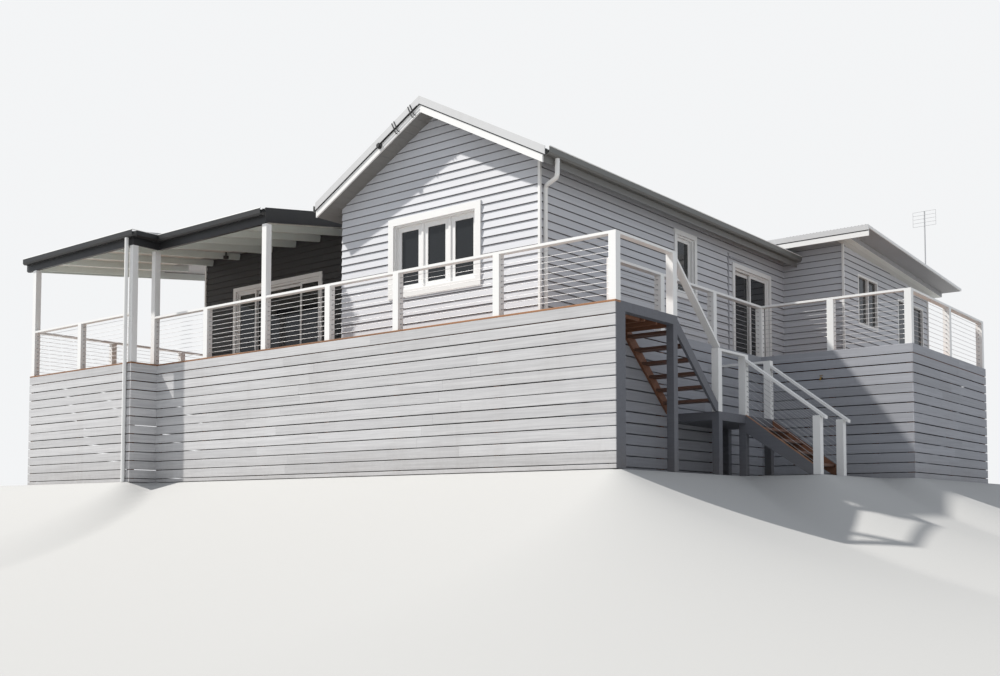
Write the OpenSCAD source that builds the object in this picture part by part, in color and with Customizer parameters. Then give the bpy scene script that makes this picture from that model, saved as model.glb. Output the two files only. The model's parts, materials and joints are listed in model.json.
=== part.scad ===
// Weatherboard beach house on a slope: a gabled main block, a left wing behind a
// skillion verandah, a narrow right wing, timber decks, wire balustrades and an
// outside stair in two flights. Millimetres, +X right along the front, +Y to the
// back, +Z up. The origin is the foot of the post under the front right deck corner.

/* [Levels] */
// Deck boards above the ground
deck_z = 2400; // [2200:20:2600]
// House floor above the deck boards
floor_step = 40; // [20:5:60]

/* [Main block] */
// Width of the gabled block
main_w = 4530; // [4400:10:4700]
// Length of the gabled block
main_len = 14810; // [14700:10:15000]
// Right wall's outer face, from the origin
main_x1 = -1960; // [-2000:5:-1900]
// Front wall's outer face, from the origin
main_y0 = 850; // [820:5:900]
// Wall thickness
wall_t = 130; // [110:5:150]
// Roof pitch in degrees
roof_pitch = 28.2; // [26:0.1:30]
// Top of the roof at its eave, above the deck
eave_h = 2684; // [2600:5:2760]
// Eave overhang past the side walls
eave_over = 340; // [300:5:380]
// Overhang past the gable walls
gable_over = 350; // [300:5:400]
// Roof build-up, measured upright
roof_v = 230; // [200:5:260]
// Depth of the sloping barge boards, measured upright
barge_drop = 270; // [240:5:300]

/* [Left wing and verandah] */
// Left wing's front wall, outer face
lw_y0 = 2820; // [2760:10:2900]
// Left wing's left wall, outer face
lw_x0 = -13260; // [-13300:10:-13200]
// Left wing's depth
lw_d = 4180; // [4000:10:4300]
// Verandah roof's left end
ver_x0 = -15100; // [-15150:10:-15050]
// Verandah roof's right end
ver_x1 = -7650; // [-7690:10:-7620]
// Post at the outer corner of the step in the deck's front
step_x = -11045; // [-11090:5:-11000]
// Post at the inner corner of that step
notch_x = -11165; // [-11200:5:-11130]
// How far it steps forward
step_y = 600; // [560:10:640]
// Roof top at the verandah's front edge, above the deck
ver_h = 2630; // [2580:5:2660]
// Roof top where the verandah meets the left wing's roof, above the deck
ver_back_h = 3010; // [2980:5:3040]
// Roof build-up of verandah and left wing
skillion_t = 90; // [70:5:100]
// Depth of the verandah's front beam
beam_d = 180; // [160:5:200]
// Rafters under each half of the verandah roof
rafter_n = 5;

/* [Right wing] */
// Right wing's front wall, outer face
rw_y0 = 10045; // [10000:5:10100]
// Right wing's side wall, outer face
rw_x1 = -588; // [-620:4:-560]
// Roof top at its front edge, above the deck
rw_h = 3010; // [2980:5:3040]
// Fall of the roof towards the back, in degrees
rw_fall = 2.9; // [2:0.1:3.5]
// Overhang to the right
rw_over_x = 780; // [700:10:820]
// Overhang to the front
rw_over_y = 560; // [500:10:600]
// Roof build-up over the wing
rw_t = 150; // [120:5:180]
// Thinner build-up at the right edge
rw_edge_t = 60; // [50:5:80]

/* [Decks] */
// Deck board thickness
board_t = 30; // [25:1:35]
// Joist and bearer depth
joist_d = 140; // [120:5:160]
// Largest spacing of the joists
joist_pitch = 600; // [450:10:650]
// Skirt board thickness
skirt_t = 20; // [18:1:25]
// Deck's left end, centre of the posts
left_x = -14780; // [-14830:10:-14730]
// Line of the rail between walkway and stair
walk_x = -945; // [-960:5:-930]
// Side deck's front line
side_y0 = 6690; // [6650:5:6720]
// Side deck's right line
side_x1 = 1930; // [1900:5:1960]
// Side deck's back line
side_y1 = 11100; // [11050:10:11150]
// Width of the strip of deck along the right wing
strip_w = 1200; // [1100:10:1250]

/* [Balustrades] */
// Square posts
post_w = 124; // [116:2:132]
// Handrail top above the deck
rail_h = 1000; // [950:10:1050]
// Handrail thickness
rail_t = 40; // [35:1:50]
// Handrail width
rail_w = 120; // [100:2:130]
// Handrail top above the stair landing
land_rail = 1040; // [1000:10:1080]
// Start of the lower flight's handrails, below the landing's rail
low_drop = 80; // [60:5:100]
// Wires in each bay
wire_n = 10; // [8:1:11]
// Wire diameter
wire_d = 6; // [4:1:8]

/* [Stair] */
// Risers in the upper flight
up_n = 7;
// Risers in the lower flight
low_n = 5;
// Landing top above the ground
land_z = 1029; // [1000:1:1060]
// Going of the upper flight
up_going = 221; // [214:1:230]
// Going of the lower flight
low_going = 275; // [265:1:290]
// Clear length of the landing beside the lower flight
land_len = 1940; // [1900:10:2000]
// Lower flight's width over its stringers
low_w = 1100; // [1060:10:1140]
// Tread thickness
tread_t = 45; // [38:1:50]
// Stringer thickness
string_t = 45; // [38:1:50]
// Front edge of the stair head
head_y = 1680; // [1640:5:1720]
// Start of the walkway's rail, before the stair head
walk_lead = 340; // [320:5:360]

/* [Doors and windows] */
// Front window: left side of the opening
fw_x0 = -5170; // [-5200:5:-5140]
// Front window: width of the opening
fw_w = 1890; // [1850:5:1930]
// Front window: sill above the deck
fw_sill = 895; // [870:5:920]
// Front window: height of the opening
fw_h = 1180; // [1150:5:1210]
// Side window: front side of the opening
sw_y0 = 5205; // [5180:5:5230]
// Side window: width of the opening
sw_w = 685; // [660:5:710]
// Side window: sill above the deck
sw_sill = 1190; // [1160:5:1220]
// Side window: height of the opening
sw_h = 1115; // [1090:5:1140]
// Side door: front side of the opening
sd_y0 = 7600; // [7560:5:7640]
// Side door: width of the opening
sd_w = 1640; // [1600:5:1680]
// Door heads above the deck
door_h = 2085; // [2050:5:2110]
// Verandah door: left side of the opening
vd_x0 = -12130; // [-12160:5:-12100]
// Verandah door: width of the opening
vd_w = 2830; // [2800:5:2860]
// Verandah door: width of each fixed leaf
vd_leaf = 630; // [600:5:650]
// Right wing window: width
rwin_w = 1230; // [1200:5:1260]
// Right wing window: height
rwin_h = 1140; // [1110:5:1170]
// Right wing glazed door: width
rdoor_w = 1870; // [1840:5:1900]
// Right wing glazed door: height above the deck
rdoor_h = 2170; // [2140:5:2200]
// Clearance round each sliding panel
slide_gap = 6; // [5:0.5:8]
// Frame bars of doors
bar_w = 50; // [45:1:60]
// Stiles and rails of the front window's sashes
sash_w = 85; // [75:1:90]
// Door panel thickness
panel_t = 36; // [34:1:40]
// Glass thickness
glass_t = 6; // [5:1:8]
// Architrave width
arch_w = 90; // [80:2:100]
// Architrave width of the front window
wide_arch_w = 125; // [110:5:135]
// Architrave thickness in front of the wall
arch_t = 45; // [40:1:50]

/* [View] */

/* [Hidden] */
// Clearance where one piece sits against the next
seat = 0.3;
main_x0 = main_x1 - main_w;
main_y1 = main_y0 + main_len;
ridge_x = main_x0 + main_w / 2;
half_span = main_w / 2 + eave_over;
roof_k = tan(roof_pitch);
eave_top = deck_z + eave_h;
floor_z = deck_z + floor_step;
floor_t = 160;
lw_y1 = lw_y0 + lw_d;
barge_t = 32;
barge_up = 30;
cap_t = 4;
cap_lip = 70;
front_y = -60;
join_y = lw_y0 - 420;
ver_k = (ver_back_h - ver_h) / (join_y - front_y);
proj_k = (ver_back_h - ver_h) / (join_y - front_y + step_y);
lw_back_y = lw_y1 + 300;
under_beam = deck_z + ver_h - skillion_t - beam_d;
beam_w = 65;
raf_d = 140;
raf_w = 45;
rw_k = tan(rw_fall);
rw_y_front = rw_y0 - rw_over_y;
rw_back_y = main_y1 + 250;
rw_x_end = rw_x1 + rw_over_x;
rw_x_thin = rw_x1 + 320;
rw_fascia_d = 230;
rw_fascia_t = 25;
deck_under = deck_z - board_t;
joist_under = deck_under - joist_d;
bearer_under = joist_under - joist_d;
joist_w = 45;
bearer_w = 65;
edge = post_w / 2;
skirt_out = edge + skirt_t;
wire_gap = 60;
wire_step = (rail_h - rail_t - wire_gap - 30) / wire_n;
gutter_h = 120;
gutter_w = 115;
gutter_t = 4;
pipe_d = 76;
socket_d = 80;
stump_w = 100;
strip_x = rw_x1 + strip_w;
of_t = post_w;
of_d = 140;
fw_x1 = fw_x0 + fw_w;
fw_z0 = deck_z + fw_sill;
fw_z1 = fw_z0 + fw_h;
lining_t = 25;
mullion_w = 50;
light_w = (fw_w - 2 * lining_t - 2 * mullion_w) / 3;
sw_y1 = sw_y0 + sw_w;
sw_z0 = deck_z + sw_sill;
sw_z1 = sw_z0 + sw_h;
sd_y1 = sd_y0 + sd_w;
vd_x1 = vd_x0 + vd_w;
door_top = deck_z + door_h;
jamb = 40;
stile = bar_w + 10;
sill_z = floor_z + jamb;
head_z = door_top - jamb;
shoe_l = 80;
shoe_w = 16;
shoe_in = 60;
track_out = 36;
track_in = 88;
fixed_y0 = sd_y0 + sd_w / 2;
panel_x = main_x1 - track_in;
fixed_x = main_x1 - track_out;
vl_x = vd_x0 + jamb + vd_leaf;
vr_x = vd_x1 - jamb - vd_leaf;
vfix_y = lw_y0 + track_out;
vpanel_y = lw_y0 + track_in;
rw_len = main_y1 - rw_y0;
rwin_y0 = rw_y0 + 0.262 * rw_len - rwin_w / 2;
rwin_y1 = rwin_y0 + rwin_w;
rwin_z1 = deck_z + 2330;
rwin_z0 = rwin_z1 - rwin_h;
rdoor_y1 = main_y1 - 310;
rdoor_y0 = rdoor_y1 - rdoor_w;
rdoor_z1 = deck_z + rdoor_h;
rframe_in = 80;
rframe_out = 20;
ver_step = step_x + edge;
tall_x = ver_x1 - 10;
low_posts = [0, -2125, -4270, -5930];
veranda_mid = (tall_x + notch_x) / 2;
proj_mid = (step_x + left_x) / 2;
left_posts = [for (i = [1 : 3]) -step_y + i * (lw_y1 + step_y) / 4];
walk_y0 = head_y - walk_lead;
walk_posts = [2865, 4725];
walk_stump_x = walk_x + edge - skirt_t - stump_w / 2 - seat;
side_mid_x = (walk_x + side_x1) / 2;
side_mid_y = (side_y0 + side_y1) / 2;
up_rise = (deck_z - land_z) / up_n;
low_rise = land_z / low_n;
land_y0 = head_y + (up_n - 1) * up_going;
low_y1 = land_y0 + land_len + 2 * edge;
low_y0 = low_y1 - low_w;
mid_y = low_y0 + edge;
land_y1 = low_y1 - edge;
land_d = 140;
low_x0 = edge;
low_x1 = low_x0 + (low_n - 1) * low_going;
low_post_x = low_x1 + 85;
low_k = low_rise / low_going;
land_rail_z = land_z + land_rail;
up_x0 = walk_x + edge;
up_x1 = edge - 10;

// Shapes shared by the pieces

module blk(lo, hi) {
    translate(lo) cube([hi[0] - lo[0], hi[1] - lo[1], hi[2] - lo[2]]);
}

// A profile drawn in x and z, carried along y
module along_y(y0, y1) {
    translate([0, y1, 0]) rotate([90, 0, 0]) linear_extrude(height = y1 - y0) children();
}

// A profile drawn in y and z, carried along x
module along_x(x0, x1) {
    translate([x0, 0, 0]) rotate([90, 0, 90]) linear_extrude(height = x1 - x0) children();
}

// Four members of a frame in the plane of a front wall, outside size given
module frame_xz(x0, x1, z0, z1, y0, y1, w, foot = true) {
    blk([x0, y0, z1 - w], [x1, y1, z1]);
    if (foot) blk([x0, y0, z0], [x1, y1, z0 + w]);
    for (x = [x0, x1 - w])
        blk([x, y0, foot ? z0 + w + seat : z0], [x + w, y1, z1 - w - seat]);
}

// The same in the plane of a side wall
module frame_yz(y0, y1, z0, z1, x0, x1, w, foot = true) {
    blk([x0, y0, z1 - w], [x1, y1, z1]);
    if (foot) blk([x0, y0, z0], [x1, y1, z0 + w]);
    for (y = [y0, y1 - w])
        blk([x0, y, foot ? z0 + w + seat : z0], [x1, y + w, z1 - w - seat]);
}

// A pane set in a frame's inside size
module pane_xz(x0, x1, z0, z1, y) {
    blk([x0 + seat, y - glass_t / 2, z0 + seat], [x1 - seat, y + glass_t / 2, z1 - seat]);
}

module pane_yz(y0, y1, z0, z1, x) {
    blk([x - glass_t / 2, y0 + seat, z0 + seat], [x + glass_t / 2, y1 - seat, z1 - seat]);
}

// Tops of the roofs, and the undersides less the clearance of what they sit on
function main_top(x) = eave_top + (half_span - abs(x - ridge_x)) * roof_k;
function main_under(x) = main_top(x) - roof_v;
function lw_top(y) = deck_z + ver_back_h + (y - join_y) * proj_k;
function lw_under(y) = lw_top(y) - skillion_t;
function ver_top(y) = deck_z + ver_h + (y - front_y) * ver_k;
function proj_top(y) = deck_z + ver_h + (y - front_y + step_y) * proj_k;
function rw_top(y) = deck_z + rw_h - (y - rw_y_front) * rw_k;
function rw_under(y) = rw_top(y) - rw_t;

// Main block

module base_walls() color("slategray") {
    top = floor_z - floor_t - seat;
    for (x = [main_x0, main_x1 - wall_t]) blk([x, main_y0, 0], [x + wall_t, main_y1, top]);
    for (y = [main_y0, main_y1 - wall_t])
        blk([main_x0 + wall_t + seat, y, 0], [main_x1 - wall_t - seat, y + wall_t, top]);
    for (y = [lw_y0, lw_y1 - wall_t]) blk([lw_x0, y, 0], [main_x0 - seat, y + wall_t, top]);
    blk([lw_x0, lw_y0 + wall_t + seat, 0], [lw_x0 + wall_t, lw_y1 - wall_t - seat, top]);
    for (y = [rw_y0, main_y1 - wall_t]) blk([main_x1 + seat, y, 0], [rw_x1, y + wall_t, top]);
    blk([rw_x1 - wall_t, rw_y0 + wall_t + seat, 0], [rw_x1, main_y1 - wall_t - seat, top]);
}

module house_floors() color("tan") {
    z0 = floor_z - floor_t;
    blk([main_x0, main_y0, z0], [main_x1, main_y1, floor_z]);
    blk([lw_x0, lw_y0, z0], [main_x0 - seat, lw_y1, floor_z]);
    blk([main_x1 + seat, rw_y0, z0], [rw_x1, main_y1, floor_z]);
}

module gable_profile() {
    polygon([[main_x0, floor_z + seat], [main_x1, floor_z + seat], [main_x1, main_under(main_x1) - seat],
        [ridge_x, main_under(ridge_x) - seat], [main_x0, main_under(main_x0) - seat]]);
}

module main_front_wall() color("lightsteelblue") {
    along_y(main_y0, main_y0 + wall_t) difference() {
        gable_profile();
        translate([fw_x0, fw_z0]) square([fw_w, fw_h]);
    }
}

// A side wall's section between two lines of x, from a level up to the main roof
module side_section(x0, x1, z0) {
    polygon([[x0, z0], [x1, z0], [x1, main_under(x1) - seat], [x0, main_under(x0) - seat]]);
}

module main_left_wall() color("lightsteelblue") {
    along_y(main_y0 + wall_t + seat, main_y1 - wall_t - seat)
        side_section(main_x0, main_x0 + wall_t, floor_z + seat);
}

module main_right_wall() color("lightsteelblue") {
    difference() {
        along_y(main_y0 + wall_t + seat, sd_y0 - seat)
            side_section(main_x1 - wall_t, main_x1, floor_z + seat);
        blk([main_x1 - wall_t - 1, sw_y0, sw_z0], [main_x1 + 1, sw_y1, sw_z1]);
    }
    along_y(sd_y1 + seat, main_y1 - wall_t - seat) side_section(main_x1 - wall_t, main_x1, floor_z + seat);
    along_y(sd_y0, sd_y1) side_section(main_x1 - wall_t, main_x1, door_top + seat);
}

module back_walls() color("lightsteelblue") {
    along_y(main_y1 - wall_t, main_y1) gable_profile();
    along_x(main_x1 + seat, rw_x1) rw_section(main_y1 - wall_t, main_y1);
}

// One slope of the main roof from a line of x up to the ridge
module slope_section(x) {
    inner = ridge_x + (x < ridge_x ? -seat : seat);
    polygon([[x, main_under(x)], [inner, main_under(inner)], [inner, main_top(inner)], [x, main_top(x)]]);
}

module main_roof_left() color("gray") {
    eave = main_x0 - eave_over;
    along_y(main_y0 - gable_over, lw_y0 - seat) slope_section(eave);
    along_y(lw_y0, lw_y1) slope_section(main_x0);
    along_y(lw_y1 + seat, main_y1 + gable_over) slope_section(eave);
}

module main_roof_right() color("gray") {
    along_y(main_y0 - gable_over, rw_y0 - seat) slope_section(main_x1 + eave_over);
    along_y(rw_y0, main_y1 + gable_over) slope_section(main_x1);
}

// A band along one slope between two upright distances from the roof's top
module rake_band(x0, x1, lo, hi) {
    polygon([[x0, main_top(x0) + lo], [x1, main_top(x1) + lo], [x1, main_top(x1) + hi], [x0, main_top(x0) + hi]]);
}

// Folded metal over the top of one barge board, with a lip down its face
module barge_capping(x0, x1, face_y, out) {
    y = [face_y + out * seat, face_y + out * 12];
    inner = [face_y - out * 90, y[1]];
    along_y(min(y), max(y)) rake_band(x0, x1, barge_up - cap_lip, barge_up + seat + cap_t);
    along_y(min(inner), max(inner)) rake_band(x0, x1, barge_up + seat, barge_up + seat + cap_t);
}

module roof_cappings() color("dimgray") {
    wing = 150;
    along_y(main_y0 - gable_over, main_y1 + gable_over)
        polygon([[ridge_x - wing, main_top(ridge_x - wing) + seat], [ridge_x, main_top(ridge_x) + seat],
            [ridge_x + wing, main_top(ridge_x + wing) + seat], [ridge_x + wing, main_top(ridge_x + wing) + seat + cap_t],
            [ridge_x, main_top(ridge_x) + seat + 2 * cap_t], [ridge_x - wing, main_top(ridge_x - wing) + seat + cap_t]]);
    front = main_y0 - gable_over - barge_t;
    back = main_y1 + gable_over + barge_t;
    barge_capping(main_x0 - eave_over, ridge_x - seat, front, -1);
    barge_capping(ridge_x + seat, main_x1 + eave_over, front, -1);
    barge_capping(main_x0 - eave_over, ridge_x - seat, back, 1);
    barge_capping(ridge_x + seat, main_x1, back, 1);
}

module barge_boards() color("white") {
    for (y = [main_y0 - gable_over - barge_t, main_y1 + gable_over])
        along_y(y + (y > main_y0 ? seat : 0), y + barge_t - (y > main_y0 ? 0 : seat)) {
            rake_band(main_x0 - eave_over, ridge_x - seat, barge_up - barge_drop, barge_up);
            rake_band(ridge_x + seat, y > main_y0 ? main_x1 : main_x1 + eave_over, barge_up - barge_drop, barge_up);
        }
}

// Open gutter section: back at u = 0, front at u = gutter_w, rim at v = 0
module gutter_profile() {
    lip = 25;
    heel = 30;
    polygon([[seat, 0], [seat, -gutter_h], [gutter_w - lip, -gutter_h], [gutter_w, -gutter_h + heel],
        [gutter_w, 0], [gutter_w - gutter_t, 0], [gutter_w - gutter_t, -gutter_h + heel + 2],
        [gutter_w - lip - 2, -gutter_h + gutter_t], [seat + gutter_t, -gutter_h + gutter_t], [seat + gutter_t, 0]]);
}

module gutters() color("dimgray") {
    left = main_x0 - eave_over;
    along_y(main_y0 - gable_over, rw_y0) translate([main_x1 + eave_over, eave_top]) gutter_profile();
    along_y(main_y0 - gable_over, lw_y0) translate([left, eave_top]) mirror([1, 0]) gutter_profile();
    along_y(lw_y1, main_y1 + gable_over) translate([left, eave_top]) mirror([1, 0]) gutter_profile();
}

module verandah_gutters() color("dimgray") {
    top = deck_z + ver_h;
    along_x(ver_step + seat, ver_x1) translate([front_y, top]) mirror([1, 0]) gutter_profile();
    along_y(front_y - step_y, front_y - gutter_w - seat) translate([ver_step, top]) gutter_profile();
    along_x(ver_x0, ver_step + gutter_w) translate([front_y - step_y, top]) mirror([1, 0]) gutter_profile();
}

// A round pipe in a plane of constant y between two points in x and z, with a socket at each
module pipe_xz(lo, hi, y) {
    run = hi - lo;
    translate([lo[0], y, lo[1]]) rotate([0, atan2(run[0], run[1]), 0]) cylinder(h = norm(run), d = pipe_d, $fn = 24);
    for (p = [lo, hi]) translate([p[0], y, p[1]]) sphere(d = socket_d, $fn = 24);
}

module downpipes() color("white") {
    clear = 3;
    wall_x = main_x1 + pipe_d / 2 + clear;
    y = main_y0 + 110;
    outlet_x = main_x1 + eave_over + gutter_w / 2;
    outlet_z = eave_top - gutter_h - seat;
    elbow_z = outlet_z - 280;
    foot_z = elbow_z - 170;
    translate([wall_x, y, deck_z + seat]) cylinder(h = foot_z - deck_z - seat, d = pipe_d, $fn = 24);
    pipe_xz([wall_x, foot_z], [outlet_x, elbow_z], y);
    translate([outlet_x, y, elbow_z]) cylinder(h = outlet_z - elbow_z, d = pipe_d, $fn = 24);
    translate([step_x - 75, -step_y - skirt_out - pipe_d / 2 - clear, 0])
        cylinder(h = deck_z + ver_h - gutter_h - seat, d = pipe_d, $fn = 24);
}

module corner_boards() color("white") {
    stop = 45;
    base = floor_z + seat;
    blk([main_x1, main_y0 - stop, base], [main_x1 + stop, main_y0, main_under(main_x1 + stop) - seat]);
    blk([rw_x1, rw_y0 - stop, base], [rw_x1 + stop, rw_y0, rw_under(rw_y0) - seat]);
}

// Windows and doors

// Start of each light of the front window
function light_x(i) = fw_x0 + lining_t + i * (light_w + mullion_w);

module front_window() color("white") {
    y0 = main_y0 - arch_t;
    sash_y = main_y0 + 60;
    sash_t = 40;
    frame_xz(fw_x0 - wide_arch_w, fw_x1 + wide_arch_w, fw_z0 - wide_arch_w, fw_z1 + wide_arch_w,
        y0, main_y0, wide_arch_w);
    frame_xz(fw_x0, fw_x1, fw_z0, fw_z1, main_y0 + seat, main_y0 + wall_t, lining_t);
    for (i = [0 : 2])
        frame_xz(light_x(i) + seat, light_x(i) + light_w - seat, fw_z0 + lining_t + seat, fw_z1 - lining_t - seat,
            sash_y, sash_y + sash_t, sash_w);
    for (i = [1, 2])
        blk([light_x(i) - mullion_w, main_y0 + 40, fw_z0 + lining_t + seat],
            [light_x(i), main_y0 + wall_t, fw_z1 - lining_t - seat]);
}

module side_window() color("white") {
    frame_yz(sw_y0 - arch_w, sw_y1 + arch_w, sw_z0 - arch_w, sw_z1 + arch_w, main_x1, main_x1 + arch_t, arch_w);
    frame_yz(sw_y0, sw_y1, sw_z0, sw_z1, main_x1 - wall_t, main_x1 - seat, lining_t);
    frame_yz(sw_y0 + lining_t + seat, sw_y1 - lining_t - seat, sw_z0 + lining_t + seat, sw_z1 - lining_t - seat,
        main_x1 - 100, main_x1 - 60, stile);
}

module side_door_frame() color("white") {
    frame_yz(sd_y0, sd_y1, floor_z + seat, door_top, main_x1 - wall_t, main_x1, jamb);
    frame_yz(sd_y0 - arch_w, sd_y1 + arch_w, floor_z + seat, door_top + arch_w, main_x1 + seat, main_x1 + arch_t,
        arch_w, false);
    frame_yz(fixed_y0 - bar_w / 2, sd_y1 - jamb - seat, sill_z + 2 * seat, head_z - seat,
        fixed_x - panel_t / 2, fixed_x + panel_t / 2, bar_w);
}

module side_door_panel() color("white") {
    y0 = sd_y0 + jamb + slide_gap;
    y1 = fixed_y0 + bar_w / 2;
    frame_yz(y0, y1, sill_z + slide_gap, head_z - slide_gap, panel_x - panel_t / 2, panel_x + panel_t / 2, stile);
    for (y = [y0 + shoe_in, y1 - shoe_in - shoe_l])
        blk([panel_x - shoe_w / 2, y, sill_z + 2 * seat], [panel_x + shoe_w / 2, y + shoe_l, sill_z + slide_gap]);
}

module side_door_glass() color("black", 0.5) {
    pane_yz(sd_y0 + jamb + slide_gap + stile, fixed_y0 + bar_w / 2 - stile, sill_z + slide_gap + stile,
        head_z - slide_gap - stile, panel_x);
}

module fixed_glass() color("black", 0.5) {
    for (i = [0 : 2])
        pane_xz(light_x(i) + sash_w, light_x(i) + light_w - sash_w, fw_z0 + lining_t + sash_w,
            fw_z1 - lining_t - sash_w, main_y0 + 80);
    pane_yz(sw_y0 + lining_t + stile, sw_y1 - lining_t - stile, sw_z0 + lining_t + stile,
        sw_z1 - lining_t - stile, main_x1 - 80);
    pane_yz(fixed_y0 + bar_w / 2, sd_y1 - jamb - bar_w, sill_z + bar_w + seat, head_z - bar_w, fixed_x);
    pane_xz(vd_x0 + jamb + bar_w, vl_x - bar_w, sill_z + bar_w + seat, head_z - bar_w, vfix_y);
    pane_xz(vr_x + bar_w, vd_x1 - jamb - bar_w, sill_z + bar_w + seat, head_z - bar_w, vfix_y);
    mid = (rwin_y0 + rwin_y1) / 2;
    glass_x = rw_x1 - rframe_in / 2;
    pane_yz(rwin_y0 + bar_w, mid - bar_w / 2, rwin_z0 + bar_w, rwin_z1 - bar_w, glass_x);
    pane_yz(mid + bar_w / 2, rwin_y1 - bar_w, rwin_z0 + bar_w, rwin_z1 - bar_w, glass_x);
    pane_yz(rdoor_y0 + bar_w, rdoor_y1 - bar_w, floor_z + bar_w + seat, rdoor_z1 - bar_w, glass_x);
}

// Left wing and verandah

module lw_section(y0, y1, z0) {
    polygon([[y0, z0], [y1, z0], [y1, lw_under(y1) - seat], [y0, lw_under(y0) - seat]]);
}

module left_wing_front_wall() color("dimgray") {
    along_x(lw_x0, vd_x0 - seat) lw_section(lw_y0, lw_y0 + wall_t, floor_z + seat);
    along_x(vd_x1 + seat, main_x0 - seat) lw_section(lw_y0, lw_y0 + wall_t, floor_z + seat);
    along_x(vd_x0, vd_x1) lw_section(lw_y0, lw_y0 + wall_t, door_top + seat);
}

module left_wing_walls() color("lightsteelblue") {
    along_x(lw_x0, lw_x0 + wall_t) lw_section(lw_y0 + wall_t + seat, lw_y1 - wall_t - seat, floor_z + seat);
    along_x(lw_x0, main_x0 - seat) lw_section(lw_y1 - wall_t, lw_y1, floor_z + seat);
}

module verandah_door_frame() color("white") {
    frame_xz(vd_x0, vd_x1, floor_z + seat, door_top, lw_y0, lw_y0 + wall_t, jamb);
    frame_xz(vd_x0 - arch_w, vd_x1 + arch_w, floor_z + seat, door_top + arch_w, lw_y0 - arch_t, lw_y0 - seat,
        arch_w, false);
    for (x = [[vd_x0 + jamb + seat, vl_x], [vr_x, vd_x1 - jamb - seat]])
        frame_xz(x[0], x[1], sill_z + 2 * seat, head_z - seat, vfix_y - panel_t / 2, vfix_y + panel_t / 2, bar_w);
}

module verandah_door_panel() color("white") {
    x0 = vl_x - bar_w;
    x1 = vr_x + bar_w;
    frame_xz(x0, x1, sill_z + slide_gap, head_z - slide_gap, vpanel_y - panel_t / 2, vpanel_y + panel_t / 2, stile);
    for (x = [x0 + shoe_in, x1 - shoe_in - shoe_l])
        blk([x, vpanel_y - shoe_w / 2, sill_z + 2 * seat], [x + shoe_l, vpanel_y + shoe_w / 2, sill_z + slide_gap]);
}

module verandah_door_glass() color("black", 0.5) {
    pane_xz(vl_x - bar_w + stile, vr_x + bar_w - stile, sill_z + slide_gap + stile,
        head_z - slide_gap - stile, vpanel_y);
}

module left_wing_roof() color("gray") {
    low = 2000;
    difference() {
        along_x(ver_x0, ridge_x - eave_over)
            polygon([[join_y + seat, lw_under(join_y + seat)], [lw_back_y, lw_under(lw_back_y)],
                [lw_back_y, lw_top(lw_back_y)], [join_y + seat, lw_top(join_y + seat)]]);
        along_y(join_y - 1, lw_back_y + 1) rake_band(main_x0 - eave_over, ridge_x, -low, seat);
    }
}

module verandah_roof() color("gray") {
    along_x(ver_x0, ver_step)
        polygon([[front_y - step_y, proj_top(front_y - step_y) - skillion_t], [join_y, proj_top(join_y) - skillion_t],
            [join_y, proj_top(join_y)], [front_y - step_y, proj_top(front_y - step_y)]]);
    along_x(ver_step + seat, ver_x1)
        polygon([[front_y, ver_top(front_y) - skillion_t], [join_y, ver_top(join_y) - skillion_t],
            [join_y, ver_top(join_y)], [front_y, ver_top(front_y)]]);
}

module verandah_rafters() color("white") {
    margin = 60;
    back = lw_y0 - seat;
    y0 = front_y + beam_w + seat;
    p0 = front_y - step_y + beam_w + seat;
    step = (ver_x1 - ver_step - 2 * margin - raf_w) / (rafter_n - 1);
    for (i = [0 : rafter_n - 1])
        along_x(ver_step + margin + i * step, ver_step + margin + i * step + raf_w)
            polygon([[y0, ver_top(y0) - skillion_t - raf_d], [back, lw_under(back) - raf_d],
                [back, lw_under(back) - seat], [join_y, ver_top(join_y) - skillion_t - seat],
                [y0, ver_top(y0) - skillion_t - seat]]);
    proj_step = (ver_step - ver_x0 - 2 * margin - raf_w) / (rafter_n - 1);
    for (i = [0 : rafter_n - 1])
        along_x(ver_x0 + margin + i * proj_step, ver_x0 + margin + i * proj_step + raf_w)
            polygon([[p0, proj_top(p0) - skillion_t - raf_d], [back, lw_under(back) - raf_d],
                [back, lw_under(back) - seat], [p0, proj_top(p0) - skillion_t - seat]]);
}

// Front beam's section, its top under the roof slope
module beam_section(y, top0, top1) {
    polygon([[y, under_beam], [y + beam_w, under_beam], [y + beam_w, top1 - skillion_t - seat],
        [y, top0 - skillion_t - seat]]);
}

module verandah_beams() color("dimgray") {
    y = front_y - step_y;
    along_x(ver_step + seat, ver_x1 - seat) beam_section(front_y, ver_top(front_y), ver_top(front_y + beam_w));
    along_x(ver_x0, ver_step) beam_section(y, proj_top(y), proj_top(y + beam_w));
    p0 = y + beam_w + seat;
    along_x(ver_step - raf_w, ver_step)
        polygon([[p0, under_beam], [front_y, under_beam], [front_y, proj_top(front_y) - skillion_t - seat],
            [p0, proj_top(p0) - skillion_t - seat]]);
}

module verandah_barges() color("dimgray") {
    drop = 250;
    up = 30;
    t = 30;
    along_x(ver_x1, ver_x1 + t)
        polygon([[front_y, ver_top(front_y) - drop], [join_y, ver_top(join_y) - drop],
            [join_y, ver_top(join_y) + up], [front_y, ver_top(front_y) + up]]);
    along_x(ver_x0 - t, ver_x0 - seat)
        polygon([[front_y - step_y, proj_top(front_y - step_y) - drop], [lw_back_y, proj_top(lw_back_y) - drop],
            [lw_back_y, proj_top(lw_back_y) + up], [front_y - step_y, proj_top(front_y - step_y) + up]]);
}

module verandah_posts() color("white") {
    for (x = [tall_x, notch_x]) blk([x - edge, -edge, deck_z], [x + edge, edge, under_beam - seat]);
    for (x = [step_x, left_x])
        blk([x - edge, -step_y - edge, deck_z], [x + edge, -step_y + edge, under_beam - seat]);
}

// Right wing

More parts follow.
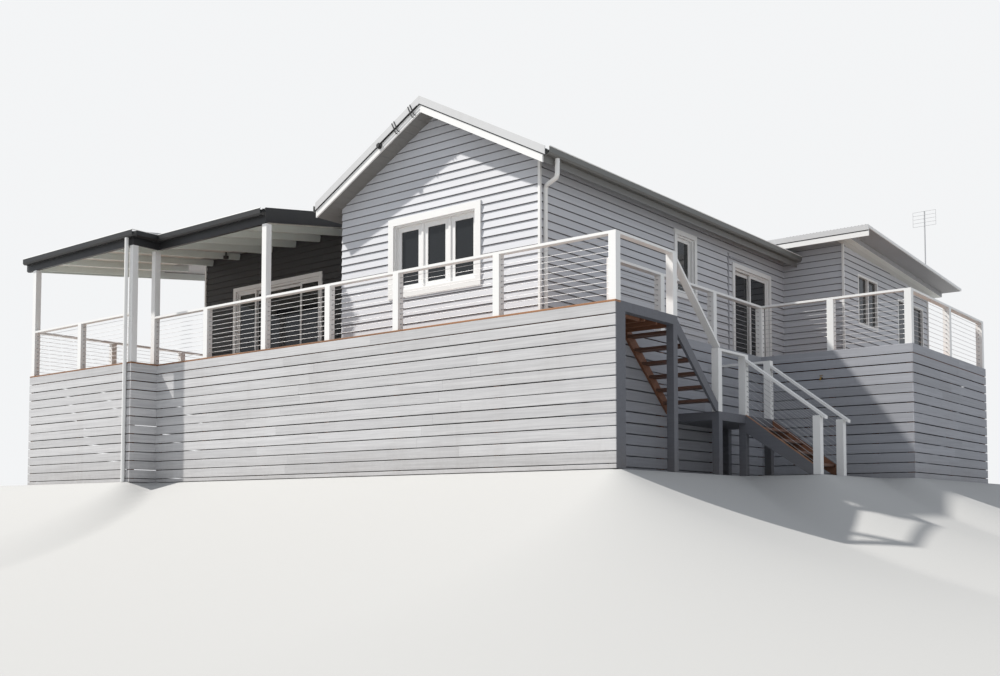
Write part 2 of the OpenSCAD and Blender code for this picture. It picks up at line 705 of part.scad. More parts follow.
module rw_section(y0, y1) {
    polygon([[y0, floor_z + seat], [y1, floor_z + seat], [y1, rw_under(y1) - seat], [y0, rw_under(y0) - seat]]);
}

module right_wing_front_wall() color("lightsteelblue") {
    along_x(main_x1 + seat, rw_x1) rw_section(rw_y0, rw_y0 + wall_t);
}

module right_wing_side_wall() color("lightsteelblue") {
    difference() {
        along_x(rw_x1 - wall_t, rw_x1) rw_section(rw_y0 + wall_t + seat, main_y1 - wall_t - seat);
        blk([rw_x1 - wall_t - 1, rwin_y0, rwin_z0], [rw_x1 + 1, rwin_y1, rwin_z1]);
        blk([rw_x1 - wall_t - 1, rdoor_y0, floor_z - 1], [rw_x1 + 1, rdoor_y1, rdoor_z1]);
    }
}

// Slab of the right wing's roof between two lines of x
module rw_slab(x0, x1, t) {
    along_x(x0, x1)
        polygon([[rw_y_front, rw_top(rw_y_front) - t], [rw_back_y, rw_top(rw_back_y) - t],
            [rw_back_y, rw_top(rw_back_y)], [rw_y_front, rw_top(rw_y_front)]]);
}

module right_wing_roof() color("gray") {
    low = 2000;
    difference() {
        rw_slab(ridge_x + eave_over, rw_x_thin - seat, rw_t);
        along_y(rw_y_front - 1, rw_back_y + 1) rake_band(ridge_x, main_x1 + eave_over, -low, seat);
    }
    rw_slab(rw_x_thin, rw_x_end, rw_edge_t);
}

module right_wing_fascia() color("white") {
    low = 2000;
    top = rw_top(rw_y_front);
    difference() {
        blk([ridge_x + eave_over, rw_y_front - rw_fascia_t, top - rw_fascia_d], [rw_x_end + rw_fascia_t, rw_y_front - seat, top]);
        along_y(rw_y_front - rw_fascia_t - 1, rw_y_front + 1) rake_band(ridge_x, main_x1 + eave_over, -low, seat);
    }
    along_x(rw_x_end + seat, rw_x_end + rw_fascia_t)
        polygon([[rw_y_front, top - rw_edge_t], [rw_back_y, rw_top(rw_back_y) - rw_edge_t],
            [rw_back_y, rw_top(rw_back_y)], [rw_y_front, top]]);
}

module right_wing_window() color("white") {
    mid = (rwin_y0 + rwin_y1) / 2;
    frame_yz(rwin_y0, rwin_y1, rwin_z0, rwin_z1, rw_x1 - rframe_in, rw_x1 + rframe_out, bar_w);
    blk([rw_x1 - rframe_in, mid - bar_w / 2, rwin_z0 + bar_w + seat],
        [rw_x1 + rframe_out, mid + bar_w / 2, rwin_z1 - bar_w - seat]);
    frame_yz(rdoor_y0, rdoor_y1, floor_z + seat, rdoor_z1, rw_x1 - rframe_in, rw_x1 + rframe_out, bar_w);
}

// Decks

// One field of deck boards
module deck_field(x0, x1, y0, y1) {
    blk([x0, y0, deck_under], [x1, y1, deck_z - seat]);
}

module front_deck() color("peru") {
    out = left_x - skirt_out;
    deck_field(out, ver_step + skirt_t, -step_y - skirt_out, -skirt_out - seat);
    deck_field(out, edge, -skirt_out, edge - seat);
    deck_field(out, main_x0 - seat, edge, lw_y0 - seat);
    deck_field(main_x0, edge - of_t - seat, edge, main_y0 - seat);
    deck_field(main_x1, edge - of_t - seat, main_y0, head_y - seat);
    deck_field(out, lw_x0, lw_y0, lw_y1);
}

module side_deck() color("peru") {
    right = side_x1 + edge - seat;
    deck_field(main_x1, walk_x + edge - skirt_t - seat, head_y, side_y0 - edge);
    deck_field(main_x1, right, side_y0 - edge + seat, rw_y0 - seat);
    deck_field(rw_x1, right, rw_y0, side_y1 + edge - seat);
    deck_field(rw_x1, strip_x - skirt_t - seat, side_y1 + edge, main_y1 - skirt_t - seat);
}

// Even spacing of n + 1 joists between two lines, no wider than the pitch
function joist_lines(a, b) = let (n = ceil((b - a - joist_w) / joist_pitch))
    [for (i = [0 : n]) a + i * (b - a - joist_w) / n];

module joists_y(x0, x1, y0, y1) {
    for (x = joist_lines(x0, x1)) blk([x, y0 + seat, joist_under + seat], [x + joist_w, y1 - seat, deck_under - seat]);
}

module joists_x(x0, x1, y0, y1) {
    for (y = joist_lines(y0, y1)) blk([x0 + seat, y, joist_under + seat], [x1 - seat, y + joist_w, deck_under - seat]);
}

module bearer_x(x0, x1, y) {
    blk([x0 + seat, y - bearer_w / 2, bearer_under], [x1 - seat, y + bearer_w / 2, joist_under]);
}

module deck_frame() color("sienna") {
    inner = [left_x - edge, ver_step];
    joists_y(inner[0], inner[1], -step_y - edge, lw_y0);
    joists_y(inner[1] + joist_pitch, main_x0, -edge, lw_y0);
    joists_y(main_x0 + joist_pitch, edge - of_t - joist_w, -edge, main_y0);
    joists_x(inner[0], lw_x0, lw_y0 + joist_w, lw_y1 - skirt_t - seat);
    joists_x(main_x1, edge - of_t, main_y0 + joist_w, head_y - joist_w);
    joists_x(main_x1, walk_x + edge - skirt_t, head_y + joist_w, side_y0 - edge - joist_w);
    joists_y(main_x1, rw_x1 - joist_w, side_y0 - edge, rw_y0);
    joists_y(rw_x1, side_x1 + edge, side_y0 - edge, side_y1 + edge);
    joists_x(rw_x1, strip_x - skirt_t, side_y1 + skirt_out + joist_w, main_y1 - skirt_t - seat);
    bearer_x(ver_step + skirt_t, -edge, 0);
    bearer_x(left_x - edge, ver_step, -step_y);
    bearer_x(left_x - edge, main_x0, lw_y0 - 220);
    for (y = [side_y0, side_mid_y, side_y1]) bearer_x(y < rw_y0 ? main_x1 : rw_x1, side_x1 + edge, y);
    blk([left_x - bearer_w / 2, lw_y0, bearer_under], [left_x + bearer_w / 2, lw_y1 - skirt_t - seat, joist_under]);
    blk([walk_stump_x - bearer_w / 2, head_y + joist_w, bearer_under],
        [walk_stump_x + bearer_w / 2, side_y0 - edge - joist_w, joist_under]);
}

module stump(x, y) {
    blk([x - stump_w / 2, y - stump_w / 2, 0], [x + stump_w / 2, y + stump_w / 2, bearer_under - seat]);
}

module deck_stumps() color("saddlebrown") {
    back_row = lw_y0 - 220;
    for (i = [1 : len(low_posts) - 1]) stump(low_posts[i], 0);
    for (x = [tall_x, veranda_mid]) stump(x, 0);
    for (x = [step_x, proj_mid, left_x]) stump(x, -step_y);
    for (x = [left_x, proj_mid, step_x, veranda_mid, tall_x]) stump(x, back_row);
    for (y = [lw_y0 + lw_d / 3, lw_y0 + 2 * lw_d / 3, lw_y1 - skirt_t - stump_w]) stump(left_x, y);
    for (y = walk_posts) stump(walk_stump_x, y);
    for (x = [walk_x, side_mid_x, side_x1], y = [side_y0, side_mid_y]) stump(x, y);
    for (x = [side_mid_x, side_x1]) stump(x, side_y1);
}

module front_skirt() color("lightgray") {
    z1 = deck_under - seat;
    blk([ver_step + skirt_t + seat, -skirt_out, 0], [edge, -edge, z1]);
    blk([ver_step, -step_y - skirt_out, 0], [ver_step + skirt_t, -edge, z1]);
    blk([left_x - edge, -step_y - skirt_out, 0], [ver_step - seat, -step_y - edge, z1]);
    blk([left_x - skirt_out, -step_y - skirt_out, 0], [left_x - edge - seat, lw_y1, z1]);
    blk([left_x - edge, lw_y1 - skirt_t, 0], [lw_x0 - seat, lw_y1, z1]);
}

module side_skirt() color("slategray") {
    z1 = deck_z - seat;
    x = walk_x + edge;
    blk([x - skirt_t, edge, 0], [x, head_y - seat, bearer_under - seat]);
    blk([x - skirt_t, head_y, 0], [x, side_y0 - skirt_out - seat, z1]);
    blk([x - skirt_t, side_y0 - skirt_out, 0], [side_x1 + edge - seat, side_y0 - edge, z1]);
    blk([side_x1 + edge, side_y0 - skirt_out, 0], [side_x1 + skirt_out, side_y1 + skirt_out, z1]);
    blk([strip_x, side_y1 + edge, 0], [side_x1 + edge - seat, side_y1 + skirt_out, z1]);
    blk([strip_x - skirt_t, side_y1 + edge, 0], [strip_x - seat, main_y1, z1]);
    blk([rw_x1 + seat, main_y1 - skirt_t, 0], [strip_x - skirt_t - seat, main_y1, z1]);
}

// Stair

module stair_opening_frame() color("dimgray") {
    z1 = deck_z - of_d;
    blk([-edge, -edge + seat, 0], [edge, edge - seat, deck_under - seat]);
    for (y = [edge, head_y - of_t]) blk([edge - of_t, y, 0], [edge, y + of_t, z1 - seat]);
    blk([edge - of_t, edge, z1], [edge, head_y, deck_z]);
}

module stair_treads() color("peru") {
    nosing = 20;
    for (i = [1 : up_n - 1])
        blk([up_x0 + string_t + seat, head_y + seat + (i - 1) * up_going - (i > 1 ? nosing : 0), deck_z - i * up_rise - tread_t],
            [up_x1 - string_t - seat, head_y + i * up_going, deck_z - i * up_rise]);
    for (i = [1 : low_n - 1])
        blk([low_x0 + seat + (i - 1) * low_going, low_y0 + string_t + seat, land_z - i * low_rise - tread_t],
            [low_x0 + i * low_going + nosing, low_y1 - string_t - seat, land_z - i * low_rise]);
}

// A stringer's outline along a flight: plumb cut at the head, level cut at the foot
module stringer(run0, z_head, run1, z_foot, depth, rise) {
    foot = 60;
    polygon([[run0, z_head], [run0, z_head - depth], [run1 - foot, z_foot], [run1, z_foot], [run1, z_foot + rise]]);
}

module upper_stringer_left() color("sienna") {
    along_x(up_x0 + seat, up_x0 + string_t)
        stringer(head_y + seat, deck_under, land_y0, land_z + seat, 230, 140);
}

module upper_stringer_right() color("dimgray") {
    along_x(up_x1 - string_t, up_x1)
        stringer(head_y + seat, deck_under, land_y0, land_z + seat, 230, 140);
}

module lower_stringers() color("dimgray") {
    for (y = [low_y0, low_y1 - string_t])
        along_y(y, y + string_t) stringer(low_x0 + seat, land_z, low_post_x - seat, 0, 300, 170);
}

module stair_landing() color("dimgray") {
    leg = post_w;
    under = land_z - land_d - seat;
    blk([walk_x + edge + seat, land_y0, land_z - land_d], [edge, low_y1, land_z]);
    for (y = [land_y0, mid_y - edge, low_y1 - leg]) blk([edge - leg, y, 0], [edge, y + leg, under]);
    for (y = [land_y0, low_y1 - leg]) blk([walk_x + edge + seat, y, 0], [walk_x + edge + leg, y + leg, under]);
}

// Balustrades

// Level of each wire above the foot of its bay
function wire_z(i) = wire_gap + (i - 0.5) * wire_step;

module run_x(x0, x1, y, posts) {
    blk([x0, y - rail_w / 2, deck_z + rail_h - rail_t], [x1, y + rail_w / 2, deck_z + rail_h]);
    for (x = posts) blk([x - edge, y - edge, deck_z], [x + edge, y + edge, deck_z + rail_h - rail_t]);
    for (i = [1 : wire_n])
        translate([x0, y, deck_z + wire_z(i)]) rotate([0, 90, 0]) cylinder(h = x1 - x0, d = wire_d, $fn = 6);
}

module run_y(y0, y1, x, posts, wired = true) {
    blk([x - rail_w / 2, y0, deck_z + rail_h - rail_t], [x + rail_w / 2, y1, deck_z + rail_h]);
    for (y = posts) blk([x - edge, y - edge, deck_z], [x + edge, y + edge, deck_z + rail_h - rail_t]);
    if (wired)
        for (i = [1 : wire_n])
            translate([x, y0, deck_z + wire_z(i)]) rotate([-90, 0, 0]) cylinder(h = y1 - y0, d = wire_d, $fn = 6);
}

module front_balustrade() color("white") {
    run_x(tall_x + edge + seat, edge, 0, low_posts);
    run_x(notch_x + edge + seat, tall_x - edge - seat, 0, [veranda_mid]);
    run_x(left_x + edge + seat, step_x - edge - seat, -step_y, [proj_mid]);
    run_y(-step_y + edge + seat, lw_y1, left_x, concat(left_posts, [lw_y1 - edge]));
}

module stair_head_balustrade() color("white") {
    run_y(edge + seat, head_y, 0, [head_y - edge], false);
}

module walkway_balustrade() color("white") {
    run_y(walk_y0, side_y0 - edge - seat, walk_x, concat([walk_y0 + edge], walk_posts));
}

module side_deck_balustrades() color("white") {
    run_x(walk_x - rail_w / 2, side_x1 + rail_w / 2, side_y0, [walk_x, side_mid_x, side_x1]);
    run_y(side_y0 + edge + seat, side_y1 + edge, side_x1, [side_mid_y, side_y1]);
}

// Handrail beside the upper flight, from the stair head's post down to the landing's rail
module upper_handrail() {
    y = [head_y + seat, land_y0 + edge];
    foot = land_rail_z + seat;
    k = (deck_z + rail_h - 90 - rail_t - foot) / (y[1] - y[0]);
    t = rail_t / cos(atan(k));
    head = foot + k * (y[1] - y[0]);
    along_x(-rail_w / 2, rail_w / 2) polygon([[y[0], head], [y[1], foot], [y[1], foot + t], [y[0], head + t]]);
}

module landing_balustrade() {
    for (y = [land_y0 + edge, mid_y]) blk([-edge, y - edge, land_z + seat], [edge, y + edge, land_rail_z - rail_t]);
    blk([-rail_w / 2, land_y0, land_rail_z - rail_t], [rail_w / 2, mid_y + edge, land_rail_z]);
    blk([-edge, land_y1 - edge, land_z + seat], [edge, land_y1 + edge, land_rail_z - rail_t]);
    blk([up_x0 + seat, land_y1 - rail_w / 2, land_rail_z - rail_t], [rail_w / 2, land_y1 + rail_w / 2, land_rail_z]);
}

// One side of the lower flight: foot post, sloping handrail and sloping wires
module lower_side(y) {
    end = low_post_x + post_w + 80;
    start = edge + seat;
    slope = atan(low_k);
    t = rail_t / cos(slope);
    function rail_z(x) = land_rail_z - low_drop - (x - start) * low_k;
    blk([low_post_x, y - edge, 0], [low_post_x + post_w, y + edge, rail_z(low_post_x + post_w) - t]);
    along_y(y - rail_w / 2, y + rail_w / 2)
        polygon([[start, rail_z(start) - t], [end, rail_z(end) - t], [end, rail_z(end)], [start, rail_z(start)]]);
    for (i = [1 : wire_n])
        translate([edge + seat, y, rail_z(edge) - rail_h + wire_z(i)]) rotate([0, 90 + slope, 0])
            cylinder(h = low_post_x / cos(slope), d = wire_d, $fn = 6);
}

module stair_balustrades() color("white") {
    upper_handrail();
    landing_balustrade();
    for (y = [mid_y, land_y1]) lower_side(y);
}

module tv_antenna() color("silver") {
    ax = 110;
    ay = 13445;
    grid_w = 540;
    grid_h = 360;
    bar = 8;
    bars = 5;
    mast_d = 30;
    grid_z = deck_z + 3810;
    foot = rw_top(ay - mast_d / 2) + seat;
    translate([ax, ay, foot]) cylinder(h = grid_z + grid_h - foot, d = mast_d, $fn = 16);
    for (i = [0 : bars - 1])
        blk([ax - grid_w / 2, ay - mast_d / 2 - bar + 3, grid_z + i * (grid_h - bar) / (bars - 1)],
            [ax + grid_w / 2, ay - mast_d / 2 + 3, grid_z + i * (grid_h - bar) / (bars - 1) + bar]);
    for (x = [ax - grid_w / 2, ax + grid_w / 2 - bar])
        blk([x, ay - mast_d / 2 - bar + 3, grid_z], [x + bar, ay - mast_d / 2 + 3, grid_z + grid_h]);
}

// Drawn nodes

base_walls();
house_floors();
main_front_wall();
main_left_wall();
main_right_wall();
back_walls();
main_roof_left();
main_roof_right();
roof_cappings();
barge_boards();
gutters();
verandah_gutters();
downpipes();
corner_boards();
front_window();
side_window();
fixed_glass();
side_door_frame();
side_door_panel();
side_door_glass();
left_wing_front_wall();
left_wing_walls();
verandah_door_frame();
verandah_door_panel();
verandah_door_glass();
left_wing_roof();
verandah_roof();
verandah_rafters();
verandah_beams();
verandah_barges();
verandah_posts();
right_wing_front_wall();
right_wing_side_wall();
right_wing_roof();
right_wing_fascia();
right_wing_window();
front_deck();
side_deck();
deck_frame();
deck_stumps();
front_skirt();
side_skirt();
stair_opening_frame();
stair_treads();
upper_stringer_left();
upper_stringer_right();
lower_stringers();
stair_landing();
front_balustrade();
stair_head_balustrade();
walkway_balustrade();
side_deck_balustrades();
stair_balustrades();
tv_antenna();
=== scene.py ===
"""Looks of the raised weatherboard beach house, dressed over its packed construction model.

Boards, roof sheets, linings, wires and small fittings are worked out here as arrays. Metres,
+X right along the front, +Y to the back, +Z up, the same frame as the construction model.
"""

import json
import logging
import math
from collections.abc import Callable
from dataclasses import dataclass
from enum import Enum

import bmesh
import bpy
import numpy as np
from mathutils import Euler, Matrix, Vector
from numpy.typing import NDArray


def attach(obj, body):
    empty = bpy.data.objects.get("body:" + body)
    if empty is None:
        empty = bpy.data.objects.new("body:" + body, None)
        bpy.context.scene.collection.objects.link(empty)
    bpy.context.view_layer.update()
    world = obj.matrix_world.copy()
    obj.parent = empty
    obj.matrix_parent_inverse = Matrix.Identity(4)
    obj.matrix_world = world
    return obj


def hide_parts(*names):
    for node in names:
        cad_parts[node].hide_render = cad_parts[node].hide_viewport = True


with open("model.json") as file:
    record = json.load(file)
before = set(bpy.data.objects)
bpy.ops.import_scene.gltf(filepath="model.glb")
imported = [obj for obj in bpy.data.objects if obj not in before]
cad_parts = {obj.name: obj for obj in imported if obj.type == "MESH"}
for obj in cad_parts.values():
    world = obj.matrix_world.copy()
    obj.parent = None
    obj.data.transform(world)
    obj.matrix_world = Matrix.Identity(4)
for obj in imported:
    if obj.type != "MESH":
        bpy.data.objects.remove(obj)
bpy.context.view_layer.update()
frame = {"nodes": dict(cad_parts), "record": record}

Floats = NDArray[np.float64]
RGB = tuple[float, float, float]
Pair = tuple[float, float]
Point = tuple[float, float, float]
Edge = tuple[Pair, ...]
Hole = tuple[float, float, float, float]
Socket = bpy.types.NodeSocket
LOG = logging.getLogger("beach_house")
HOUSE = "house"


class Axis(Enum):
    """A direction of the house."""

    X = 0
    Y = 1
    Z = 2


class GrainSpace(Enum):
    """Where a timber finish takes its grain from."""

    BOARD = "each board's own place"
    BODY = "the whole piece's place"


# Arrays that become meshes


@dataclass
class Shape:
    """A closed mesh as arrays: points, faces, and at each point a grain place and a tint."""

    points: Floats
    faces: list[list[int]]
    grain: Floats
    tint: Floats

    @staticmethod
    def joined(shapes: list["Shape"]) -> "Shape":
        """Several shapes as one.

        Args:
            shapes: The shapes to put together.

        Returns:
            One shape with the points and faces of all.
        """
        faces: list[list[int]] = []
        start = 0
        for s in shapes:
            faces += [[i + start for i in f] for f in s.faces]
            start += len(s.points)
        return Shape(
            np.concatenate([s.points for s in shapes]), faces,
            np.concatenate([s.grain for s in shapes]), np.concatenate([s.tint for s in shapes]),
        )


def bars(rings: Floats, seed: int = 1) -> Shape:
    """Closed bars. Point (b, s, k) is ring point k of bar b at station s; neighbours in s and k join.

    The grain place is the point's distance along the bar and across it, plus the bar's own offset.

    Args:
        rings: Array of bars x stations x ring points x 3.
        seed: Seed of the bars' offsets and tints.

    Returns:
        The bars as one shape, ends closed.
    """
    n, m, k, _ = rings.shape
    rng = np.random.default_rng(seed)
    s = np.arange(m - 1)[:, None]
    j = np.arange(k)[None, :]
    after = (j + 1) % k
    low, high = s * k, (s + 1) * k
    quads = np.stack([low + j, low + after, high + after, high + j], -1).reshape(-1, 4)
    first = (np.arange(n) * m * k)[:, None, None]
    sides = (quads[None] + first).reshape(-1, 4).tolist()
    caps = np.stack([np.arange(k)[::-1], np.arange(k) + (m - 1) * k])
    ends = (caps[None] + first).reshape(-1, k).tolist()
    mid = rings.mean(2)
    along = mid[:, -1] - mid[:, 0]
    along /= np.maximum(np.linalg.norm(along, axis=1, keepdims=True), 1e-9)
    up = np.where(np.abs(along[:, 2:3]) > 0.9, [[1.0, 0.0, 0.0]], [[0.0, 0.0, 1.0]])
    side = np.cross(along, up)
    basis = np.stack([along, side, up], 1)
    local = np.einsum("nmkc,ndc->nmkd", rings, basis) + rng.uniform(0, 40, (n, 1, 1, 3))
    tint = np.repeat(rng.uniform(-1, 1, n), m * k)
    return Shape(rings.reshape(-1, 3), sides + ends, local.reshape(-1, 3), tint)


def boards(lo: Floats, hi: Floats, axis: Axis, edge: float = 0.003, seed: int = 1) -> Shape:
    """Straight boards with eased edges: an eight-point ring, the box's outline with its corners cut by
    edge, carried from lo to hi along the axis.

    Args:
        lo: Lowest corners, boards x 3.
        hi: Highest corners, boards x 3.
        axis: The way the boards run.
        edge: How far each corner is cut back.
        seed: Seed of the boards' offsets and tints.

    Returns:
        The boards as one shape.
    """
    a, (u, v) = axis.value, [i for i in range(3) if i != axis.value]
    u0, u1, v0, v1 = lo[:, u], hi[:, u], lo[:, v], hi[:, v]
    e = np.minimum(edge, 0.3 * np.minimum(u1 - u0, v1 - v0))
    rings = np.zeros((len(lo), 2, 8, 3))
    rings[:, :, :, u] = np.stack([u0 + e, u1 - e, u1, u1, u1 - e, u0 + e, u0, u0], 1)[:, None]
    rings[:, :, :, v] = np.stack([v0, v0, v0 + e, v1 - e, v1, v1, v1 - e, v0 + e], 1)[:, None]
    rings[:, 0, :, a] = lo[:, a:a + 1]
    rings[:, 1, :, a] = hi[:, a:a + 1]
    return bars(rings, seed)


def rods(start: Floats, end: Floats, radius: float, sides: int = 8) -> Shape:
    """Round rods: a circle of the given radius, square to the rod's line, at each end of it.

    Args:
        start: First ends, rods x 3, or one point.
        end: Other ends, rods x 3, or one point.
        radius: Radius of the rods.
        sides: Points round each circle.

    Returns:
        The rods as one shape.
    """
    start, end = np.atleast_2d(start), np.atleast_2d(end)
    along = end - start
    along = along / np.linalg.norm(along, axis=1, keepdims=True)
    up = np.where(np.abs(along[:, 2:3]) > 0.9, [[1.0, 0.0, 0.0]], [[0.0, 0.0, 1.0]])
    side = np.cross(along, up)
    side /= np.linalg.norm(side, axis=1, keepdims=True)
    other = np.cross(side, along)
    turn = np.linspace(0, 2 * np.pi, sides, endpoint=False)[None, :, None]
    circle = side[:, None] * np.cos(turn) + other[:, None] * np.sin(turn)
    return bars(np.stack([start, end], 1)[:, :, None] + circle[:, None] * radius)


def carried(profile: Floats, axis: Axis, start: float, end: float, seed: int = 1) -> Shape:
    """One profile carried straight along X or Y.

    Args:
        profile: The outline's points in the other level direction and Z.
        axis: X or Y.
        start: Where the profile starts along the axis.
        end: Where it ends.
        seed: Seed of the tint.

    Returns:
        The closed shape.
    """
    rings = np.zeros((1, 2, len(profile), 3))
    rings[:, :, :, 1 - axis.value] = profile[:, 0]
    rings[:, :, :, 2] = profile[:, 1]
    rings[:, 0, :, axis.value] = start
    rings[:, 1, :, axis.value] = end
    return bars(rings, seed)


def cut_lengths(start: float, end: float, longest: float, rng: np.random.Generator) -> Floats:
    """Butt joints along one course: even lengths, each joint moved by up to 0.35 of a length.

    Args:
        start: Where the course starts.
        end: Where it ends.
        longest: The longest board.
        rng: Source of the moves.

    Returns:
        The joints' places, none at the ends.
    """
    n = math.ceil((end - start) / longest)
    if n < 2:
        return np.zeros(0)
    step = (end - start) / n
    return start + step * (np.arange(1, n) + rng.uniform(-0.35, 0.35, n - 1))


def make_piece(
    name: str, shape: Shape, material: bpy.types.Material, slot: str, body: str = HOUSE,
    replaces: tuple[str, ...] = (), smooth_deg: float = 0.0,
) -> None:
    """Puts a shape into the scene as a piece of the object.

    Args:
        name: The piece's name.
        shape: Its arrays.
        material: Its finish.
        slot: The record's material slot; not used.
        body: The body that it rides on.
        replaces: Construction nodes that it stands for.
        smooth_deg: Edges flatter than this are shaded smooth; 0 keeps all flat.
    """
    mesh = bpy.data.meshes.new(name)
    mesh.from_pydata(shape.points.tolist(), [], shape.faces)
    tint = mesh.attributes.new("tint", "FLOAT", "POINT")
    tint.data.foreach_set("value", shape.tint.astype(np.float32))
    grain = mesh.attributes.new("grain", "FLOAT_VECTOR", "POINT")
    grain.data.foreach_set("vector", shape.grain.astype(np.float32).ravel())
    bm = bmesh.new()
    bm.from_mesh(mesh)
    bmesh.ops.recalc_face_normals(bm, faces=bm.faces)
    bm.to_mesh(mesh)
    bm.free()
    if smooth_deg:
        mesh.polygons.foreach_set("use_smooth", np.ones(len(mesh.polygons), bool))
        mesh.set_sharp_from_angle(angle=math.radians(smooth_deg))
    mesh.materials.append(material)
    piece = bpy.data.objects.new(name, mesh)
    bpy.context.scene.collection.objects.link(piece)
    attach(piece, body)
    if replaces:
        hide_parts(*replaces)
    LOG.info("%s: %d faces, rides on %s", name, len(shape.faces), body)


def island_boxes(node: str) -> Floats:
    """Boxes of the loose solids of a construction node, from a copy of its mesh with its doubles merged.

    Each point takes the lowest number among its neighbours until nothing changes.

    Args:
        node: The node's name.

    Returns:
        Array of solids x 2 x 3, lowest and highest corners, sorted by the lowest.
    """
    bm = bmesh.new()
    bm.from_mesh(frame["nodes"][node].data)
    bmesh.ops.remove_doubles(bm, verts=bm.verts, dist=1e-5)
    points = np.array([v.co for v in bm.verts])
    edges = np.array([[v.index for v in e.verts] for e in bm.edges])
    bm.free()
    label = np.arange(len(points))
    while True:
        low = np.minimum(label[edges[:, 0]], label[edges[:, 1]])
        new = label.copy()
        np.minimum.at(new, edges[:, 0], low)
        np.minimum.at(new, edges[:, 1], low)
        new = new[new]
        if (new == label).all():
            break
        label = new
    found = [points[label == one] for one in np.unique(label)]
    return np.array(sorted([[p.min(0), p.max(0)] for p in found], key=lambda b: tuple(b[0])))


# Finishes


class Graph:
    """A node tree and short ways to add to it."""

    def __init__(self, tree: bpy.types.NodeTree) -> None:
        """Args: tree: The tree that the nodes go into."""
        self.tree = tree

    def add(self, kind: str, **settings: object) -> bpy.types.Node:
        """Adds a node.

        Args:
            kind: Its type.
            settings: Properties of the node to set.

        Returns:
            The node.
        """
        node = self.tree.nodes.new(kind)
        for key, value in settings.items():
            setattr(node, key, value)
        return node

    def put(self, enter: Socket, value: object) -> None:
        """Links an input to an output socket, or sets it to a plain value.

        Args:
            enter: The input.
            value: The output socket or the value.
        """
        if isinstance(value, Socket):
            self.tree.links.new(value, enter)
        else:
            enter.default_value = value

    def feed(self, node: bpy.types.Node, **inputs: object) -> bpy.types.Node:
        """Links or sets a node's inputs, named by their labels with _ for a space.

        Args:
            node: The node.
            inputs: An output socket to link, or a value to set.

        Returns:
            The same node.
        """
        for key, value in inputs.items():
            self.put(node.inputs[key.replace("_", " ")], value)
        return node

    def use(self, group: bpy.types.NodeTree, **inputs: object) -> bpy.types.Node:
        """Places a shared effect and feeds its inputs."""
        return self.feed(self.add("ShaderNodeGroup", node_tree=group), **inputs)

    def attribute(self, name: str, part: str) -> Socket:
        """A value that each point of the mesh carries."""
        return self.add("ShaderNodeAttribute", attribute_name=name).outputs[part]

    def place(self) -> Socket:
        """The shaded point's place on its piece."""
        return self.add("ShaderNodeTexCoord").outputs["Object"]

    def parts(self, vector: Socket) -> bpy.types.bpy_prop_collection:
        """The three parts of a vector."""
        return self.feed(self.add("ShaderNodeSeparateXYZ"), Vector=vector).outputs

    def noise(self, at: Socket, scale: float, detail: float, rough: float = 0.5, warp: float = 0.0) -> Socket:
        """Cloudy noise, round the middle of 0 to 1.

        Args:
            at: The place that it is read at.
            scale: Clouds for each unit of the place.
            detail: Finer layers on top of them.
            rough: How much each finer layer counts.
            warp: How far the place is bent first.

        Returns:
            The noise's socket.
        """
        node = self.add("ShaderNodeTexNoise")
        return self.feed(
            node, Vector=at, Scale=scale, Detail=detail, Roughness=rough, Distortion=warp).outputs[0]

    def bump(self, height: Socket, depth_mm: float, strength: float) -> Socket:
        """The normal over small heights.

        Args:
            height: Heights from 0 to 1.
            depth_mm: What a height of 1 stands for.
            strength: Share of the effect.

        Returns:
            The normal's socket.
        """
        node = self.add("ShaderNodeBump")
        return self.feed(node, Strength=strength, Distance=depth_mm / 1000, Height=height).outputs[0]

    def maths(self, operation: str, a: object, b: object = 0.0, clamp: bool = False) -> Socket:
        """One number from two.

        Args:
            operation: The sum's name.
            a: First number or socket.
            b: Second number or socket.
            clamp: Whether the result stays from 0 to 1.

        Returns:
            The result's socket.
        """
        node = self.add("ShaderNodeMath", operation=operation, use_clamp=clamp)
        self.put(node.inputs[0], a)
        self.put(node.inputs[1], b)
        return node.outputs[0]

    def blend(self, share: object, a: object, b: object, mode: str = "MIX") -> Socket:
        """A mix of two colours.

        Args:
            share: Share of the second.
            a: First colour.
            b: Second colour.
            mode: The blend mode.

        Returns:
            The result's socket.
        """
        node = self.add("ShaderNodeMix", data_type="RGBA", blend_type=mode)
        for i, value in ((0, share), (6, a), (7, b)):
            self.put(node.inputs[i], value)
        return node.outputs[2]

    def spread(self, value: Socket, low: float, high: float, a: float, b: float) -> Socket:
        """A number moved from low..high to a..b, held at the ends.

        Args:
            value: The number's socket.
            low: Start of its range.
            high: End of its range.
            a: What low becomes.
            b: What high becomes.

        Returns:
            The result's socket.
        """
        node = self.add("ShaderNodeMapRange", clamp=True)
        for i, x in enumerate((value, low, high, a, b)):
            self.put(node.inputs[i], x)
        return node.outputs[0]


def rgba(colour: RGB) -> tuple[float, float, float, float]:
    """A colour with full cover."""
    return (*colour, 1.0)


COLOUR, NUMBER, PLACE = "NodeSocketColor", "NodeSocketFloat", "NodeSocketVector"


